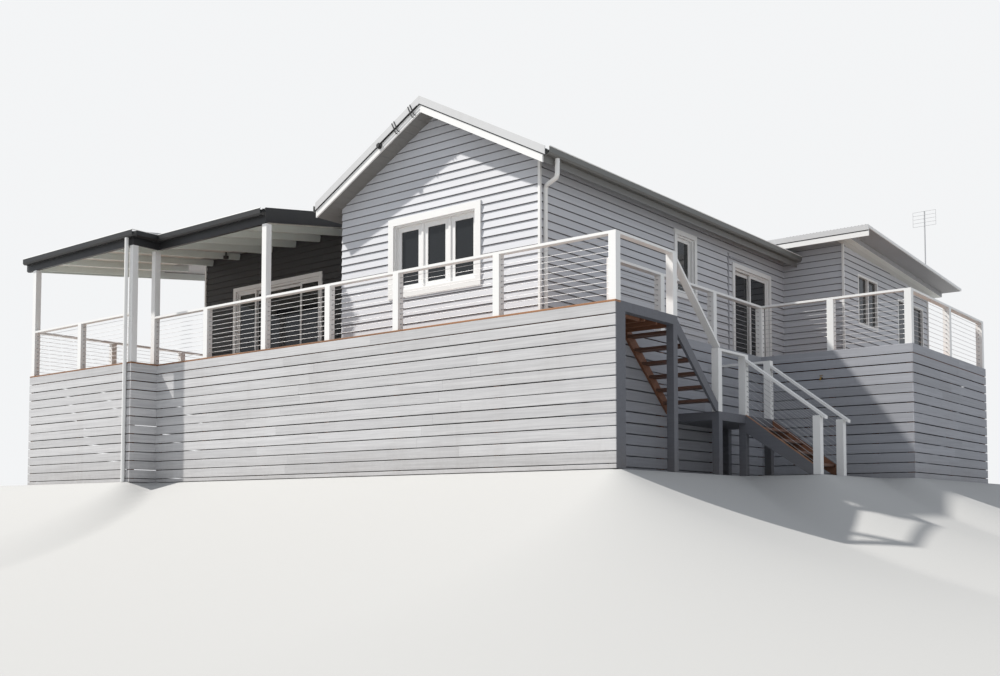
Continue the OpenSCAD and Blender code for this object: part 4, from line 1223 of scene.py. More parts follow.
@dataclass(frozen=True)
class Treads:
    """Stair treads, each of two boards."""

    gap: float = 0.008
    edge: float = 0.006

    def build(self, finishes: Finishes) -> None:
        """Makes both flights' treads in place of the plain ones.

        Args:
            finishes: The house's finishes.
        """
        shapes = []
        for axis in (Axis.X, Axis.Y):
            a, c = axis.value, 1 - axis.value
            low, high = [], []
            for lo, hi in island_boxes("stair_treads"):
                if (hi[a] - lo[a]) < (hi[c] - lo[c]):
                    continue
                middle = (lo[c] + hi[c]) / 2
                for s0, s1 in ((lo[c], middle - self.gap / 2), (middle + self.gap / 2, hi[c])):
                    p, q = lo.copy(), hi.copy()
                    p[c], q[c] = s0, s1
                    low.append(p)
                    high.append(q)
            shapes.append(boards(np.array(low), np.array(high), axis, self.edge, 700 + a))
        # The tread finish is darker than the decking: painted shade of the flights, and weathering.
        finish = finishes.board["tread"]
        make_piece("stair_tread_boards", Shape.joined(shapes), finish, "decking", replaces=("stair_treads",))


# Roofs


@dataclass(frozen=True)
class SheetStyle:
    """Corrugated sheet: length of a wave, depth, thickness and points for each wave."""

    wave: float = 0.076
    depth: float = 0.017
    thick: float = 0.0035
    points: int = 8


def corrugated(
    style: SheetStyle, across: Pair, axis: Axis, foot: Callable[[Floats], Floats],
    head: Callable[[Floats], Floats], top: Callable[[Floats, Floats], Floats],
) -> Shape:
    """A closed corrugated sheet.

    Place u runs across the waves and v down them, from foot(u) to head(u). The crests lie on
    top(u, v), and the sheet hangs below it by depth * (1 - cos(2 pi u / wave)) / 2.

    Args:
        style: The sheet's sizes.
        across: Start and end of u.
        axis: The direction of u.
        foot: v at the lower end for each u.
        head: v at the upper end for each u.
        top: Height of the crests at u and v.

    Returns:
        The sheet as one shape.
    """
    n = max(2, int(round((across[1] - across[0]) / style.wave * style.points))) + 1
    u = np.linspace(across[0], across[1], n)
    dip = style.depth * (1 - np.cos(2 * np.pi * u / style.wave)) / 2
    v = np.stack([foot(u), head(u), head(u), foot(u)], 1)
    z = np.stack([top(u, foot(u)) - dip, top(u, head(u)) - dip], 1)
    z = np.concatenate([z, z[:, ::-1] - style.thick], 1)
    rings = np.zeros((1, n, 4, 3))
    rings[0, :, :, axis.value] = u[:, None]
    rings[0, :, :, 1 - axis.value] = v
    rings[0, :, :, 2] = z
    return bars(rings)


def level(place: float) -> Callable[[Floats], Floats]:
    """An end that keeps one place all across a sheet."""
    return lambda u: np.full_like(u, place)


@dataclass(frozen=True)
class Strips:
    """Thin boards side by side under a roof: width, gap, thickness, and the play over them."""

    width: float
    gap: float
    thick: float
    play: float = 0.0005

    @property
    def drop(self) -> Floats:
        """How far the four points of a strip's section lie under the roof's slab."""
        return np.array([self.play, self.play, self.thick, self.thick])


@dataclass(frozen=True)
class Roofs:
    """Corrugated sheets, the boxed undersides of the eaves and the verandah's lining boards."""

    lines: Lines
    sheet: SheetStyle = SheetStyle()
    past_eave: float = 0.03
    past_wing: float = 0.02
    past_ridge: float = 0.002
    side_gap: float = 0.002
    half_seam: float = 0.0003
    under_sheet: float = 0.001
    soffit_board: float = 0.14
    groove: float = 0.005
    groove_half: float = 0.004
    lining: Strips = Strips(0.111, 0.004, 0.007)
    wing_strips: Strips = Strips(0.07, 0.006, 0.006)
    behind_gutter: float = 0.066

    def stretches(self, side: int, over: float) -> list[Point]:
        """Stretches of one slope of the main roof, which ends at the wall beside a wing's roof.

        Args:
            side: -1 for the left slope, 1 for the right one.
            over: How far the other stretches reach past the wall.

        Returns:
            Start, end and outer edge of each stretch.
        """
        k = self.lines
        y0, y1 = k.gable_ends
        if side < 0:
            eave = k.main_x0 - over
            return [(y0, k.lw_y0, eave), (k.lw_y0, k.lw_y1, k.main_x0), (k.lw_y1, y1, eave)]
        return [(y0, k.rw_y0, k.main_x1 + over), (k.rw_y0, y1, k.main_x1)]

    def main_sheets(self, side: int) -> Shape:
        """The sheets of one slope of the main roof.

        Args:
            side: -1 for the left slope, 1 for the right one.

        Returns:
            The sheets as one shape.
        """
        k = self.lines
        ridge = level(k.ridge_x + side * self.past_ridge)
        return Shape.joined([
            corrugated(self.sheet, (y0, y1), Axis.Y, level(edge), ridge, lambda _, x: k.main_top(x))
            for y0, y1, edge in self.stretches(side, k.eave_over + self.past_eave)])

    def main_body(self, side: int) -> Shape:
        """The boxed build-up under one slope's sheets, its underside grooved like lining boards.

        The profile is the slope's section with a shallow V cut in its underside at each board's edge.

        Args:
            side: -1 for the left slope, 1 for the right one.

        Returns:
            The build-up as one shape.
        """
        k = self.lines
        sink = self.sheet.depth + self.sheet.thick + self.under_sheet
        inner = k.ridge_x + side * self.half_seam
        shapes = []
        for y0, y1, edge in self.stretches(side, k.eave_over):
            n = int(abs(edge - inner) / self.soffit_board)
            at = edge + (inner - edge) * np.arange(1, n) / n
            xs = np.stack([at - self.groove_half, at, at + self.groove_half], 1)
            if inner < edge:
                xs = xs[:, ::-1]
            lift = np.tile([0.0, self.groove, 0.0], len(at))
            under = np.concatenate([[edge], xs.ravel(), [inner]])
            z = k.main_top(under) - k.roof_v + np.concatenate([[0], lift, [0]])
            over = np.array([inner, edge])
            profile = np.concatenate([np.stack([under, z], 1), np.stack([over, k.main_top(over) - sink], 1)])
            shapes.append(carried(profile, Axis.Y, y0, y1, 800 + side))
        return Shape.joined(shapes)

    def skillion_sheets(self) -> dict[str, Shape]:
        """Sheets over the verandah's two halves, the left wing and the right wing, crests proud of the slab.

        Beside the main roof the left wing's sheet starts where it comes out of that roof, at
        join_y + (main_top(x) - join_top) / fall.

        Returns:
            The sheets by the piece's name.
        """
        k, proud = self.lines, self.sheet.depth + self.sheet.thick
        left, right = k.eaves
        fall = float(k.lw_top(k.join_y + 1) - k.lw_top(k.join_y))
        lw_end = left + (float(k.lw_top(k.lw_back_y)) - k.eave_top) / k.slope
        rw_start = right - (float(k.rw_top(k.rw_back_y)) - k.eave_top) / k.slope
        side = k.ver_x0 + self.side_gap

        def wing_foot(x: Floats) -> Floats:
            """The left wing sheet's lower end: the join line, or the main roof where that is higher."""
            meet = np.where(x > left, k.join_y + (k.main_top(x) - k.join_top) / fall, k.join_y)
            return np.clip(meet, k.join_y, k.lw_back_y - 0.01)

        left_wing = corrugated(
            self.sheet, (side, lw_end), Axis.X, wing_foot, level(k.lw_back_y + self.past_eave),
            lambda _, y: k.lw_top(y) + proud)
        outer = corrugated(
            self.sheet, (side, k.ver_step), Axis.X, level(k.front_y - k.step_y - self.past_eave),
            level(k.join_y), lambda _, y: k.lw_top(y) + proud)
        inner = corrugated(
            self.sheet, (k.ver_step + 0.001, k.ver_x1 - self.side_gap), Axis.X,
            level(k.front_y - self.past_eave), level(k.join_y), lambda _, y: k.ver_top(y) + proud)
        right_wing = corrugated(
            self.sheet, (rw_start, k.rw_x_end), Axis.X, level(k.rw_front_y - self.past_wing),
            level(k.rw_back_y + self.past_wing), lambda x, y: np.maximum(k.rw_top(y), k.main_top(x)) + proud)
        return {"left_wing_sheets": left_wing, "verandah_sheets": Shape.joined([outer, inner]),
                "right_wing_sheets": right_wing}

    def verandah_lining(self) -> Shape:
        """Lining boards under the verandah's slabs: level strips side by side up the slope.

        Returns:
            The boards as one shape.
        """
        k, strip = self.lines, self.lining
        shapes = []
        for x0, x1, front, height in (
            (k.ver_x0 + 0.01, k.ver_step - 0.001, k.front_y - k.step_y, k.lw_top),
            (k.ver_step + 0.002, k.ver_x1 - self.side_gap, k.front_y, k.ver_top),
        ):
            y0 = front + self.behind_gutter
            n = int((k.join_y - y0) / (strip.width + strip.gap))
            at = y0 + np.arange(n) * (k.join_y - y0) / n
            step = (k.join_y - y0) / n - strip.gap
            ys = np.stack([at, at + step, at + step, at], 1)
            rings = np.zeros((n, 2, 4, 3))
            rings[..., 1] = ys[:, None]
            rings[..., 2] = (height(ys) - k.skillion_t - strip.drop)[:, None]
            rings[:, 0, :, 0] = x0
            rings[:, 1, :, 0] = x1
            shapes.append(bars(rings, 820 + len(shapes)))
        return Shape.joined(shapes)

    def wing_soffit(self) -> Shape:
        """Strips along the wall under the right wing's overhanging edge.

        Returns:
            The strips as one shape.
        """
        k, strip = self.lines, self.wing_strips
        xs = np.arange(k.rw_x1 + 0.01, k.rw_x_thin - strip.width, strip.width + strip.gap)
        rings = np.zeros((len(xs), 2, 4, 3))
        rings[..., 0] = np.stack([xs, xs + strip.width, xs + strip.width, xs], 1)[:, None]
        for s, y in enumerate((k.rw_front_y, k.rw_back_y)):
            rings[:, s, :, 1] = y
            rings[:, s, :, 2] = float(k.rw_top(y)) - (k.rw_t + strip.drop)
        return bars(rings, 840)

    def build(self, finishes: Finishes) -> None:
        """Makes all the roof pieces.

        Args:
            finishes: The house's finishes.
        """
        metal, lining = finishes.slot["roof_metal"], finishes.board["lining"]
        for side, node in ((-1, "main_roof_left"), (1, "main_roof_right")):
            sheets = self.main_sheets(side)
            make_piece(node + "_sheets", sheets, metal, "roof_metal", replaces=(node,), smooth_deg=35)
            # The soffits, white in their slot, take the gray eave finish as painted shade.
            make_piece(node + "_soffit", self.main_body(side), finishes.board["eave"], "trim_white")
        for name, shape in self.skillion_sheets().items():
            make_piece(name, shape, metal, "roof_metal", smooth_deg=35)
        make_piece("verandah_lining_boards", self.verandah_lining(), lining, "lining")
        make_piece("wing_soffit_strips", self.wing_soffit(), lining, "lining")


# Wires and fittings


@dataclass(frozen=True)
class Wires:
    """Stainless wires of the balustrades, with a tensioner at each post.

    A run is its direction, its place across that and its posts. The stair's wires keep to its slope. A
    tensioner's sleeve and collar are length, radius and sides.
    """

    deck_z: float = 2.4
    count: int = 10
    gap: float = 0.060
    step: float = 0.087
    radius: float = 0.0036
    half_post: float = 0.062
    runs: tuple[tuple[Axis, float, tuple[float, ...]], ...] = (
        (Axis.X, 0.0, (-11.165, -9.4125, -7.66, -5.93, -4.27, -2.125, 0.0)),
        (Axis.X, -0.6, (-14.78, -12.9125, -11.045)),
        (Axis.Y, -14.78, (-0.6, 1.3, 3.2, 5.1, 6.938)),
        (Axis.Y, -0.945, (1.402, 2.865, 4.725, 6.69)),
        (Axis.X, 6.69, (-0.945, 0.4925, 1.93)),
        (Axis.Y, 1.93, (6.69, 8.895, 11.1)),
    )
    stair_x: Pair = (0.0623, 1.247)
    stair_y: Pair = (4.032, 5.008)
    stair_slope: float = 0.2058 / 0.275
    stair_rail: float = 1.989
    rail_height: float = 1.0
    sleeve: tuple[float, float, int] = (0.045, 0.0065, 6)
    collar: tuple[float, float, int] = (0.006, 0.011, 8)

    def bays(self) -> Floats:
        """Every wired bay's line at the boards, from post face to post face.

        Returns:
            Array of bays x 2 x 3, both ends of each line.
        """
        bays = []
        for axis, line, posts in self.runs:
            for a, b in zip(posts, posts[1:]):
                bay = np.full((2, 3), line)
                bay[:, axis.value] = a + self.half_post, b - self.half_post
                bay[:, 2] = self.deck_z
                bays.append(bay)
        x = np.array(self.stair_x)
        z = self.stair_rail - (x - x[0]) * self.stair_slope - self.rail_height
        return np.array(bays + [np.stack([x, np.full(2, y), z], 1) for y in self.stair_y])

    def build(self, finishes: Finishes) -> None:
        """Makes the wires, each bay's line lifted by each wire's place above it, and their tensioners.

        Args:
            finishes: The house's finishes.
        """
        steel = finishes.slot["steel"]
        lift = np.zeros((1, self.count, 3))
        lift[0, :, 2] = self.gap + (np.arange(self.count) + 0.5) * self.step
        a, b = ((self.bays()[:, i, None] + lift).reshape(-1, 3) for i in (0, 1))
        make_piece("balustrade_wires", rods(a, b, self.radius, 6), steel, "steel", smooth_deg=70)
        along = (b - a) / np.linalg.norm(b - a, axis=1, keepdims=True)
        nuts = []
        for length, radius, sides in (self.sleeve, self.collar):
            nuts += [rods(a, a + along * length, radius, sides), rods(b - along * length, b, radius, sides)]
        make_piece("wire_tensioners", Shape.joined(nuts), steel, "steel", smooth_deg=40)


def bent_tube(path: Floats, radius: float, sides: int = 12) -> Shape:
    """A round tube: a circle square to the path's direction at each of its points.

    Args:
        path: Points of the centre line.
        radius: The tube's radius.
        sides: Points round the circle.

    Returns:
        The tube as one shape.
    """
    along = np.gradient(path, axis=0)
    along /= np.linalg.norm(along, axis=1, keepdims=True)
    normal = np.cross(path[-1] - path[0], path[len(path) // 2] - path[0])
    if np.linalg.norm(normal) < 1e-9:
        normal = np.cross(along[0], [0.3, 0.2, 1.0])
    normal /= np.linalg.norm(normal)
    other = np.cross(along, normal)
    turn = np.linspace(0, 2 * np.pi, sides, endpoint=False)
    ring = normal[None, None] * np.cos(turn)[None, :, None] + other[:, None] * np.sin(turn)[None, :, None]
    return bars((path[:, None] + radius * ring)[None])


def rounded(points: Floats, radius: float, steps: int = 7) -> Floats:
    """A path with rounded corners.

    Each inner point gives way to the curve (1 - t)^2 a + 2 t (1 - t) p + t^2 b, with a and b the
    places at the radius before and after it.

    Args:
        points: Corners of the path.
        radius: How far from a corner its curve starts.
        steps: Points of each curve.

    Returns:
        The path's points.
    """
    inner = points[1:-1, None]
    t = np.linspace(0, 1, steps)[None, :, None]
    ways = (points[:-2] - points[1:-1], points[2:] - points[1:-1])
    sides = [way / np.linalg.norm(way, axis=1, keepdims=True) for way in ways]
    a, b = (inner + radius * d[:, None] for d in sides)
    curves = (1 - t) ** 2 * a + 2 * t * (1 - t) * inner + t ** 2 * b
    return np.concatenate([points[:1], curves.reshape(-1, 3), points[-1:]])


@dataclass(frozen=True)
class Pipes:
    """Round downpipes with rolled bends, sockets and clips: one at the wall, one at a verandah post."""

    radius: float = 0.038
    bend: float = 0.075
    clip_rim: float = 0.0035
    clip_height: float = 0.028
    sides: int = 20
    wall: Pair = (-1.919, 0.96)
    outlet: Pair = (-1.5625, 0.79)
    post: Pair = (-11.12, -0.723)
    wall_levels: Pair = (2.402, 4.64)
    outlet_levels: Pair = (4.67, 4.962)
    post_levels: Pair = (0.0, 4.908)
    wall_clips: tuple[float, ...] = (2.62, 3.45, 4.36)
    post_clips: tuple[float, ...] = (0.5, 1.9, 3.1, 4.4)
    outlet_socket: float = 4.90

    def build(self, finishes: Finishes) -> None:
        """Makes both pipes in place of the plain ones.

        Args:
            finishes: The house's finishes.
        """
        path = np.array([
            *[(*self.wall, z) for z in self.wall_levels], *[(*self.outlet, z) for z in self.outlet_levels]])
        foot, head = (np.array([*self.post, z]) for z in self.post_levels)
        clips = np.array([
            *[(*self.wall, z) for z in self.wall_clips], *[(*self.post, z) for z in self.post_clips],
            (*self.outlet, self.outlet_socket)])
        shape = Shape.joined([
            bent_tube(rounded(path, self.bend), self.radius, self.sides),
            rods(foot, head, self.radius, self.sides),
            rods(clips, clips + [0.0, 0.0, self.clip_height], self.radius + self.clip_rim, self.sides)])
        make_piece("round_downpipes", shape, finishes.slot["downpipe"], "downpipe",
                   replaces=("downpipes",), smooth_deg=40)


@dataclass(frozen=True)
class Trims:
    """Thin metal and timber trims: roof flashings, gutter beads painted white as painted highlights, a cover
    strip and a stringer's faces.

    A flashing and the dark strip under it, painted as the flashing's shadow line, are given by their edges
    from the roof's top; their depths are measured out from the roof's edge. The wing's two are lower edge,
    upper edge and thickness.
    """

    lines: Lines
    half_seam: float = 0.0005
    skin: float = 0.0005
    flashing_foot: float = -0.100
    shadow_line_edges: Pair = (-0.116, -0.101)
    front_lift: float = 0.036
    front_reach: float = 0.062
    front_band: Pair = (0.0545, 0.0445)
    front_shadow_line: Pair = (0.042, 0.0323)
    back_band: Pair = (0.0325, 0.0435)
    back_shadow_line: Pair = (0.0325, 0.0365)
    wing_face: float = 0.0255
    wing_band: Point = (-0.105, 0.010, 0.010)
    wing_shadow_line: Point = (-0.121, -0.106, 0.004)
    wing_reach: float = 0.026
    wing_start: float = 0.012
    barge_foot: float = 0.2545
    barge_inside: float = 0.0085
    barge_outside: float = 0.0295
    barge_under: float = 0.004
    barge_front: float = 0.07
    barge_back: float = 0.01
    under_slab: float = 0.009
    main_rim: float = 0.114
    main_rim_lift: float = 0.004
    verandah_rim: float = 0.1055
    verandah_rim_lift: float = 0.008
    bead: float = 0.009

    def rake(self, ends: Pair, edges: Pair, depth: Pair) -> Shape:
        """A flat band that follows one slope of the main roof.

        Args:
            ends: Its two ends across the house, on one side of the ridge.
            edges: Its lower and upper edge, measured upright from the roof's top.
            depth: Where it starts and ends along Y.

        Returns:
            The band as one shape.
        """
        x = np.array([*ends, *ends[::-1]])
        z = self.lines.main_top(x) + np.repeat(edges, 2)
        return carried(np.stack([x, z], 1), Axis.Y, *depth)

    def flashings(self) -> tuple[Shape, Shape]:
        """Folded flashings over the upper part of the barges and of the right wing's fascia.

        Returns:
            The flashings, and the dark strips under them that are painted shadow lines.
        """
        k = self.lines
        (front, back), (left, right) = k.gable_ends, k.eaves
        # gaps gathers the dark strips painted as shadow lines under the flashings.
        bands, gaps = [], []
        for face, out, end, lift, band, gap in (
            (front, -1, right + self.front_reach, self.front_lift, self.front_band, self.front_shadow_line),
            (back, 1, k.main_x1, 0.0, self.back_band, self.back_shadow_line),
        ):
            band, gap = ((face + out * a, face + out * b) for a, b in (band, gap))
            for ends in ((left, k.ridge_x - self.half_seam), (k.ridge_x + self.half_seam, end)):
                bands.append(self.rake(ends, (self.flashing_foot, lift), band))
                gaps.append(self.rake(ends, self.shadow_line_edges, gap))
        top, end = float(k.rw_top(k.rw_front_y)), k.rw_x_end + self.wing_reach
        y = k.rw_front_y - self.wing_face
        for (low, high, thick), shapes in ((self.wing_band, bands), (self.wing_shadow_line, gaps)):
            z = top + np.array([low, low, high, high])
            start = right - (z - k.eave_top) / k.slope + self.wing_start
            x = np.array([start[0], end, end, start[2]])
            shapes.append(carried(np.stack([x, z], 1), Axis.Y, y - thick, y))
        return Shape.joined(bands), Shape.joined(gaps)

    def barge_lining(self) -> Shape:
        """A thin painted lining on the inner face and the underside of the verandah's left barge.

        Returns:
            Both linings as one shape.
        """
        k, foot = self.lines, self.barge_foot
        y = np.array([k.front_y - k.step_y + self.barge_front, k.lw_back_y - self.barge_back])
        y = np.concatenate([y, y[::-1]])
        top = k.lw_top(y)
        inner = np.stack([y, top - np.repeat([foot, k.skillion_t + self.under_slab], 2)], 1)
        under = np.stack([y, top - np.repeat([foot + self.barge_under, foot + self.skin], 2)], 1)
        inside = k.ver_x0 + self.barge_inside
        return Shape.joined([carried(inner, Axis.X, k.ver_x0 + self.skin, inside),
                             carried(under, Axis.X, k.ver_x0 - self.barge_outside, inside)])

    def main_beads(self) -> Shape:
        """Round beads along the rims of the main roof's gutters.

        Returns:
            The beads as one shape.
        """
        k, z = self.lines, self.lines.eave_top + self.main_rim_lift
        (y0, y1), (left, right) = k.gable_ends, k.eaves
        left, right = left - self.main_rim, right + self.main_rim
        ends = np.array([[(right, y0, z), (right, k.rw_y0, z)], [(left, y0, z), (left, k.lw_y0, z)],
                         [(left, k.lw_y1, z), (left, y1, z)]])
        return rods(ends[:, 0], ends[:, 1], self.bead, 10)

    def verandah_beads(self) -> Shape:
        """Round beads along the rims of the verandah's gutters, with the return at the step.

        Returns:
            The beads as one shape.
        """
        k, rim, z = self.lines, self.verandah_rim, self.lines.ver_front_top + self.verandah_rim_lift
        inner, outer, corner = k.front_y - rim, k.front_y - k.step_y - rim, k.ver_step + rim
        ends = np.array([[(corner, inner, z), (k.ver_x1, inner, z)], [(corner, outer, z), (corner, inner, z)],
                         [(k.ver_x0, outer, z), (corner, outer, z)]])
        return rods(ends[:, 0], ends[:, 1], self.bead, 10)

    def cover_strip(self) -> Shape:
        """The strip beside the side door and the hood board over it, by their lowest and highest corners.

        Returns:
            Both as one shape.
        """
        x = self.lines.main_x1
        return boards(np.array([[x + self.skin, 7.318, 2.42], [x + 0.022, 7.378, 4.64]]),
                      np.array([[x + 0.024, 7.372, 4.74], [x + 0.048, 8.03, 4.675]]), Axis.Z, seed=910)

    def stringer_faces(self) -> tuple[Shape, Shape]:
        """Two faces of the lower flight's stringers, as outlines across and up.

        Returns:
            The front stringer's top edge and the back stringer's inner face.
        """
        edge = np.array([[0.0623, 1.0292], [1.2467, 0.1702], [1.2467, 0.180], [0.0623, 1.039]])
        inner = np.array([
            [0.0643, 0.731], [1.1887, 0.002], [1.2447, 0.002], [1.2447, 0.172], [0.0643, 1.027]])
        return carried(edge, Axis.Y, 3.970, 4.0148), carried(inner, Axis.Y, 5.0215, 5.0247)

    def build(self, finishes: Finishes) -> None:
        """Makes the trims.

        Args:
            finishes: The house's finishes.
        """
        slot, board, white = finishes.slot, finishes.board, finishes.slot["downpipe"]
        bands, gaps = self.flashings()
        make_piece("roof_flashings", bands, finishes.flashing, "roof_metal")
        # Painted shadow: dark strips under the flashings stand in for their shadow lines.
        make_piece("flashing_shadow_lines", gaps, slot["metal_dark"], "metal_dark")
        make_piece("verandah_barge_lining", self.barge_lining(), board["rafter"], "lining")
        # The beads are real rims; their white is a painted highlight of the lit gutter lips.
        make_piece("main_gutter_highlight_beads", self.main_beads(), white, "downpipe", smooth_deg=60)
        make_piece("verandah_gutter_highlight_beads", self.verandah_beads(), white, "downpipe", smooth_deg=60)
        make_piece("wall_cover_strip", self.cover_strip(), board["base_dark"], "base_dark")
        edge, inner = self.stringer_faces()
        make_piece("lower_stringer_edge", edge, board["decking"], "decking")
        make_piece("lower_stringer_inside", inner, board["frame_timber"], "frame_timber")


@dataclass(frozen=True)
class Fittings:
    """Small things on the house: corner stops at the back, door handles, brackets, a lamp and a tap.

    A round part's body, nose, stem or shade is its length and its radius.
    """

    lines: Lines
    stop: float = 0.045
    handle_half: float = 0.11
    side_handle: Point = (-2.029, 7.68, 3.45)
    verandah_handle: Point = (-10.01, 2.889, 3.45)
    bracket_x: Pair = (-4.784, -4.403)
    bracket_y: float = 0.436
    bracket_half: float = 0.028
    bracket_rod: float = 0.008
    cable_end: float = -4.27
    cable_drop: float = 0.108
    cable: float = 0.007
    sounder: Point = (-5.173, 0.467, 5.84)
    sounder_body: Pair = (0.042, 0.052)
    sounder_nose: Pair = (0.022, 0.034)
    lamp_at: Point = (-11.906, 2.317, 5.30)
    lamp_stem: Pair = (0.09, 0.02)
    lamp_shade: Pair = (0.057, 0.06)
    shade_lap: float = 0.002
    tap_at: Point = (0.33, 6.6075, 1.90)
    tap_body: float = 0.015
    tap_stem: Pair = (0.042, 0.006)
    tap_handle_half: float = 0.032

    def corner_stops(self) -> Shape:
        """Square stops at the corners that the boards of two unseen sides run into.

        Returns:
            The stops as one shape.
        """
        k, s = self.lines, self.stop
        eave = float(k.main_top(k.main_x0)) - k.roof_v - 0.03
        wing = float(k.rw_top(k.main_y1 + s)) - k.rw_t - 0.002
        left = [float(k.lw_top(y)) - k.skillion_t - 0.004 for y in (k.lw_y0 - s, k.lw_y1)]
        rows = ((k.main_x0 - s, k.main_y1, eave), (k.rw_x1, k.main_y1, wing),
                (k.lw_x0 - s, k.lw_y0 - s, left[0]), (k.lw_x0 - s, k.lw_y1, left[1]))
        lo = np.array([(x, y, k.floor_z) for x, y, _ in rows])
        return boards(lo, np.array([(x + s, y + s, z) for x, y, z in rows]), Axis.Z, seed=900)

    def handle(self, at: Point, out: Point, stand: float = 0.032, radius: float = 0.007) -> Shape:
        """A bow handle. At share t of its height it stands out by stand * sin(pi t) ^ 0.45.

        Args:
            at: Middle of the handle, on the stile's face.
            out: Direction away from the door.
            stand: How far its middle stands out.
            radius: Half its thickness.

        Returns:
            The handle as one shape.
        """
        t = np.linspace(0, 1, 17)
        path = np.array(at) + np.outer(np.clip(np.sin(np.pi * t), 0, 1) ** 0.45 * stand, out)
        path[:, 2] = at[2] - self.handle_half + 2 * self.handle_half * t
        return bent_tube(path, radius, 10)

    def gable_brackets(self) -> Shape:
        """Two pairs of bent rods hooked over the left barge, a cable between them and a small round sounder.

        Each rod stands square to the slope: its path comes forward over the roof, goes down the face and
        turns in at the foot.

        Returns:
            All of it as one shape.
        """
        k, pitch = self.lines, math.radians(self.lines.pitch_deg)
        along = np.array([math.cos(pitch), 0.0, math.sin(pitch)])
        up = np.array([-math.sin(pitch), 0.0, math.cos(pitch)])
        middle_drop, rise, fall, hook, toe = 0.105, 0.125, 0.10, [0, 0.12, 0], [0, 0.028, 0]
        shapes = []
        for x in self.bracket_x:
            middle = np.array([x, self.bracket_y, float(k.main_top(x)) - middle_drop])
            for shift in (-self.bracket_half, self.bracket_half):
                c = middle + along * shift
                head, foot = c + up * rise, c - up * fall
                path = np.array([head + hook, head, foot, foot + toe])
                shapes.append(bent_tube(rounded(path, 0.02, 5), self.bracket_rod, 8))
        back = np.array(self.sounder)
        face = back - [0, self.sounder_body[0], 0]
        nose = face - [0, self.sounder_nose[0], 0]
        x = np.array([back[0], self.cable_end])
        cable = np.stack([x, np.full(2, self.bracket_y + 0.001), k.main_top(x) - self.cable_drop], 1)
        return Shape.joined(shapes + [
            rods(cable[0], cable[1], self.cable), rods(back, face, self.sounder_body[1], 20),
            rods(face, nose, self.sounder_nose[1], 20)])

    def lamp(self) -> Shape:
        """A round lamp under the verandah's lining: a stem and a wider shade.

        Returns:
            The lamp as one shape.
        """
        at = np.array(self.lamp_at)
        foot = at - [0, 0, self.lamp_stem[0]]
        shade = foot + [0, 0, self.shade_lap]
        return Shape.joined([rods(at, foot, self.lamp_stem[1], 16),
                             rods(shade, shade - [0, 0, self.lamp_shade[0]], self.lamp_shade[1], 24)])

    def tap(self) -> Shape:
        """A tap on the side skirt: a body that bends down to its spout, and a cross handle on a stem.

        Returns:
            The tap as one shape.
        """
        at = np.array(self.tap_at)
        spout = at + np.array([[0, 0, 0], [0, -0.07, 0], [0, -0.09, -0.05]])
        rise, radius = self.tap_stem
        foot, half = at + [0, -0.04, 0], np.array([self.tap_handle_half, 0, 0])
        head = foot + [0, 0, rise]
        return Shape.joined([
            bent_tube(rounded(spout, 0.02, 6), self.tap_body), rods(head - half, head + half, radius),
            rods(foot, head, radius)])

    def build(self, finishes: Finishes) -> None:
        """Makes the fittings.

        Args:
            finishes: The house's finishes.
        """
        black = finishes.black
        make_piece("back_corner_stops", self.corner_stops(), finishes.board["trim_white"], "trim_white")
        side = self.handle(self.side_handle, (1.0, 0.0, 0.0), 0.008, 0.004)
        make_piece("side_door_handle", side, black, "metal_dark", body="side_door", smooth_deg=50)
        make_piece("gable_brackets", self.gable_brackets(), black, "metal_dark", smooth_deg=50)
        make_piece("verandah_lamp", self.lamp(), black, "metal_dark", smooth_deg=50)
        make_piece("garden_tap", self.tap(), finishes.brass, "steel", smooth_deg=50)
        front = self.handle(self.verandah_handle, (0.0, -1.0, 0.0))
        make_piece("verandah_door_handle", front, black, "metal_dark", body="verandah_door", smooth_deg=50)


# Light, floor and camera


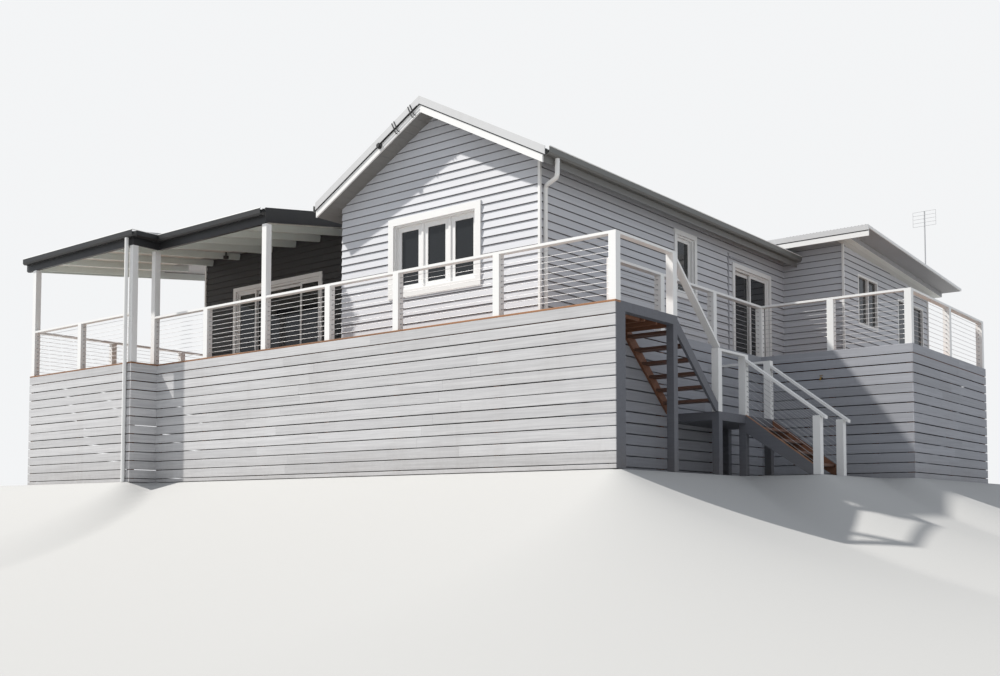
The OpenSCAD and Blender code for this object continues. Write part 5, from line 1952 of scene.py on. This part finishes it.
@dataclass(frozen=True)
class Studio:
    """The pale floor, the sun and sky, and the camera.

    A corner is a place in plan that the floor stays level behind, to the left of it or further back.
    The floor's grid has its closest lines at its middle.
    """

    lens: float = 39.921
    shift_y: float = 0.11923
    place: Point = (8.504, -13.25, -0.655)
    yaw_deg: float = 38.644
    pitch_deg: float = 2.974
    fall: float = 2.6
    reach: float = 5.0
    grid: int = 320
    middle: Pair = (-3.0, 2.0)
    floor_colour: RGB = (0.45, 0.45, 0.445)
    corners: tuple[Pair, ...] = ((0.09, -0.09), (1.42, 3.90), (2.03, 6.57), (-10.95, -0.78))
    sky_colour: RGB = (0.88, 0.93, 1.0)
    sky_strength: float = 0.64
    shown_colour: RGB = (0.90, 0.91, 0.92)
    sun_colour: RGB = (1.0, 0.965, 0.91)
    sun_energy: float = 4.8
    sun_deg: float = 1.5
    sun_way: Point = (0.57, 0.36, -0.74)

    def floor(self) -> None:
        """A pale floor, level under the house, that falls away in front of it.

        Its height is -fall * (1 - exp(-d / reach)), with d the least of the distances outside the
        corners; the grid's lines spread out as 22 |t| + 260 |t|^5 from the middle.
        """
        n = self.grid
        t = np.linspace(-1, 1, n)
        spread = np.sign(t) * (np.abs(t) * 22 + np.abs(t) ** 5 * 260)
        x, y = np.meshgrid(self.middle[0] + spread, self.middle[1] + spread, indexing="ij")
        away = [np.hypot(np.maximum(x - cx, 0), np.maximum(cy - y, 0)) for cx, cy in self.corners]
        d = np.maximum(np.min(away, axis=0) - 0.01, 0)
        z = -self.fall * (1 - np.exp(-d / self.reach)) - 0.001
        points = np.stack([x, y, z], -1).reshape(-1, 3)
        i, j = np.meshgrid(np.arange(n - 1), np.arange(n - 1), indexing="ij")
        first = (i * n + j).ravel()
        faces = np.stack([first, first + n, first + n + 1, first + 1], 1)
        mesh = bpy.data.meshes.new("floor")
        mesh.from_pydata(points.tolist(), [], faces.tolist())
        mesh.polygons.foreach_set("use_smooth", np.ones(len(mesh.polygons), bool))
        material, g, shader = start_material("pale_floor")
        g.feed(shader, Base_Color=rgba(self.floor_colour), Roughness=0.9)
        mesh.materials.append(material)
        floor = bpy.data.objects.new("floor", mesh)
        bpy.context.scene.collection.objects.link(floor)

    def light(self) -> None:
        """A sun from the front left and an even sky, which only the camera sees near white."""
        world = bpy.data.worlds.new("studio")
        bpy.context.scene.world = world
        world.use_nodes = True
        g = Graph(world.node_tree)
        g.tree.nodes.clear()
        sky = g.feed(g.add("ShaderNodeBackground"), Color=rgba(self.sky_colour), Strength=self.sky_strength)
        shown = g.feed(g.add("ShaderNodeBackground"), Color=rgba(self.shown_colour), Strength=1.0)
        mix = g.add("ShaderNodeMixShader")
        seen = g.add("ShaderNodeLightPath").outputs["Is Camera Ray"]
        for i, value in enumerate((seen, sky.outputs[0], shown.outputs[0])):
            g.put(mix.inputs[i], value)
        g.feed(g.add("ShaderNodeOutputWorld"), Surface=mix.outputs[0])
        sun = bpy.data.lights.new("key", "SUN")
        sun.energy = self.sun_energy
        sun.angle = math.radians(self.sun_deg)
        sun.color = self.sun_colour
        key = bpy.data.objects.new("key", sun)
        key.rotation_euler = Vector(self.sun_way).to_track_quat("-Z", "Y").to_euler()
        bpy.context.scene.collection.objects.link(key)

    def camera(self) -> None:
        """The camera at the photograph's place and angle."""
        data = bpy.data.cameras.new("camera")
        data.lens = self.lens
        data.sensor_width = 36.0
        data.shift_y = self.shift_y
        data.clip_end = 600.0
        camera = bpy.data.objects.new("camera", data)
        camera.location = self.place
        turn = (math.radians(90 + self.pitch_deg), 0.0, math.radians(self.yaw_deg))
        camera.rotation_euler = Euler(turn, "XYZ")
        bpy.context.scene.collection.objects.link(camera)
        bpy.context.scene.camera = camera

    def build(self) -> None:
        """Sets up view transform, floor, light and camera."""
        bpy.context.scene.view_settings.view_transform = "Standard"
        self.floor()
        self.light()
        self.camera()


def main() -> None:
    """Dresses the house, one sub-assembly after the other."""
    logging.basicConfig(level=logging.INFO, format="%(message)s")
    lines = Lines()
    Studio().build()
    finishes = Finishes()
    finishes.dress_nodes()
    Cladding(lines).build(finishes)
    DeckBoards().build(finishes)
    SkirtBoards().build(finishes)
    Treads().build(finishes)
    Roofs(lines).build(finishes)
    Wires().build(finishes)
    Pipes().build(finishes)
    Trims(lines).build(finishes)
    Fittings(lines).build(finishes)


if __name__ == "__main__":
    main()
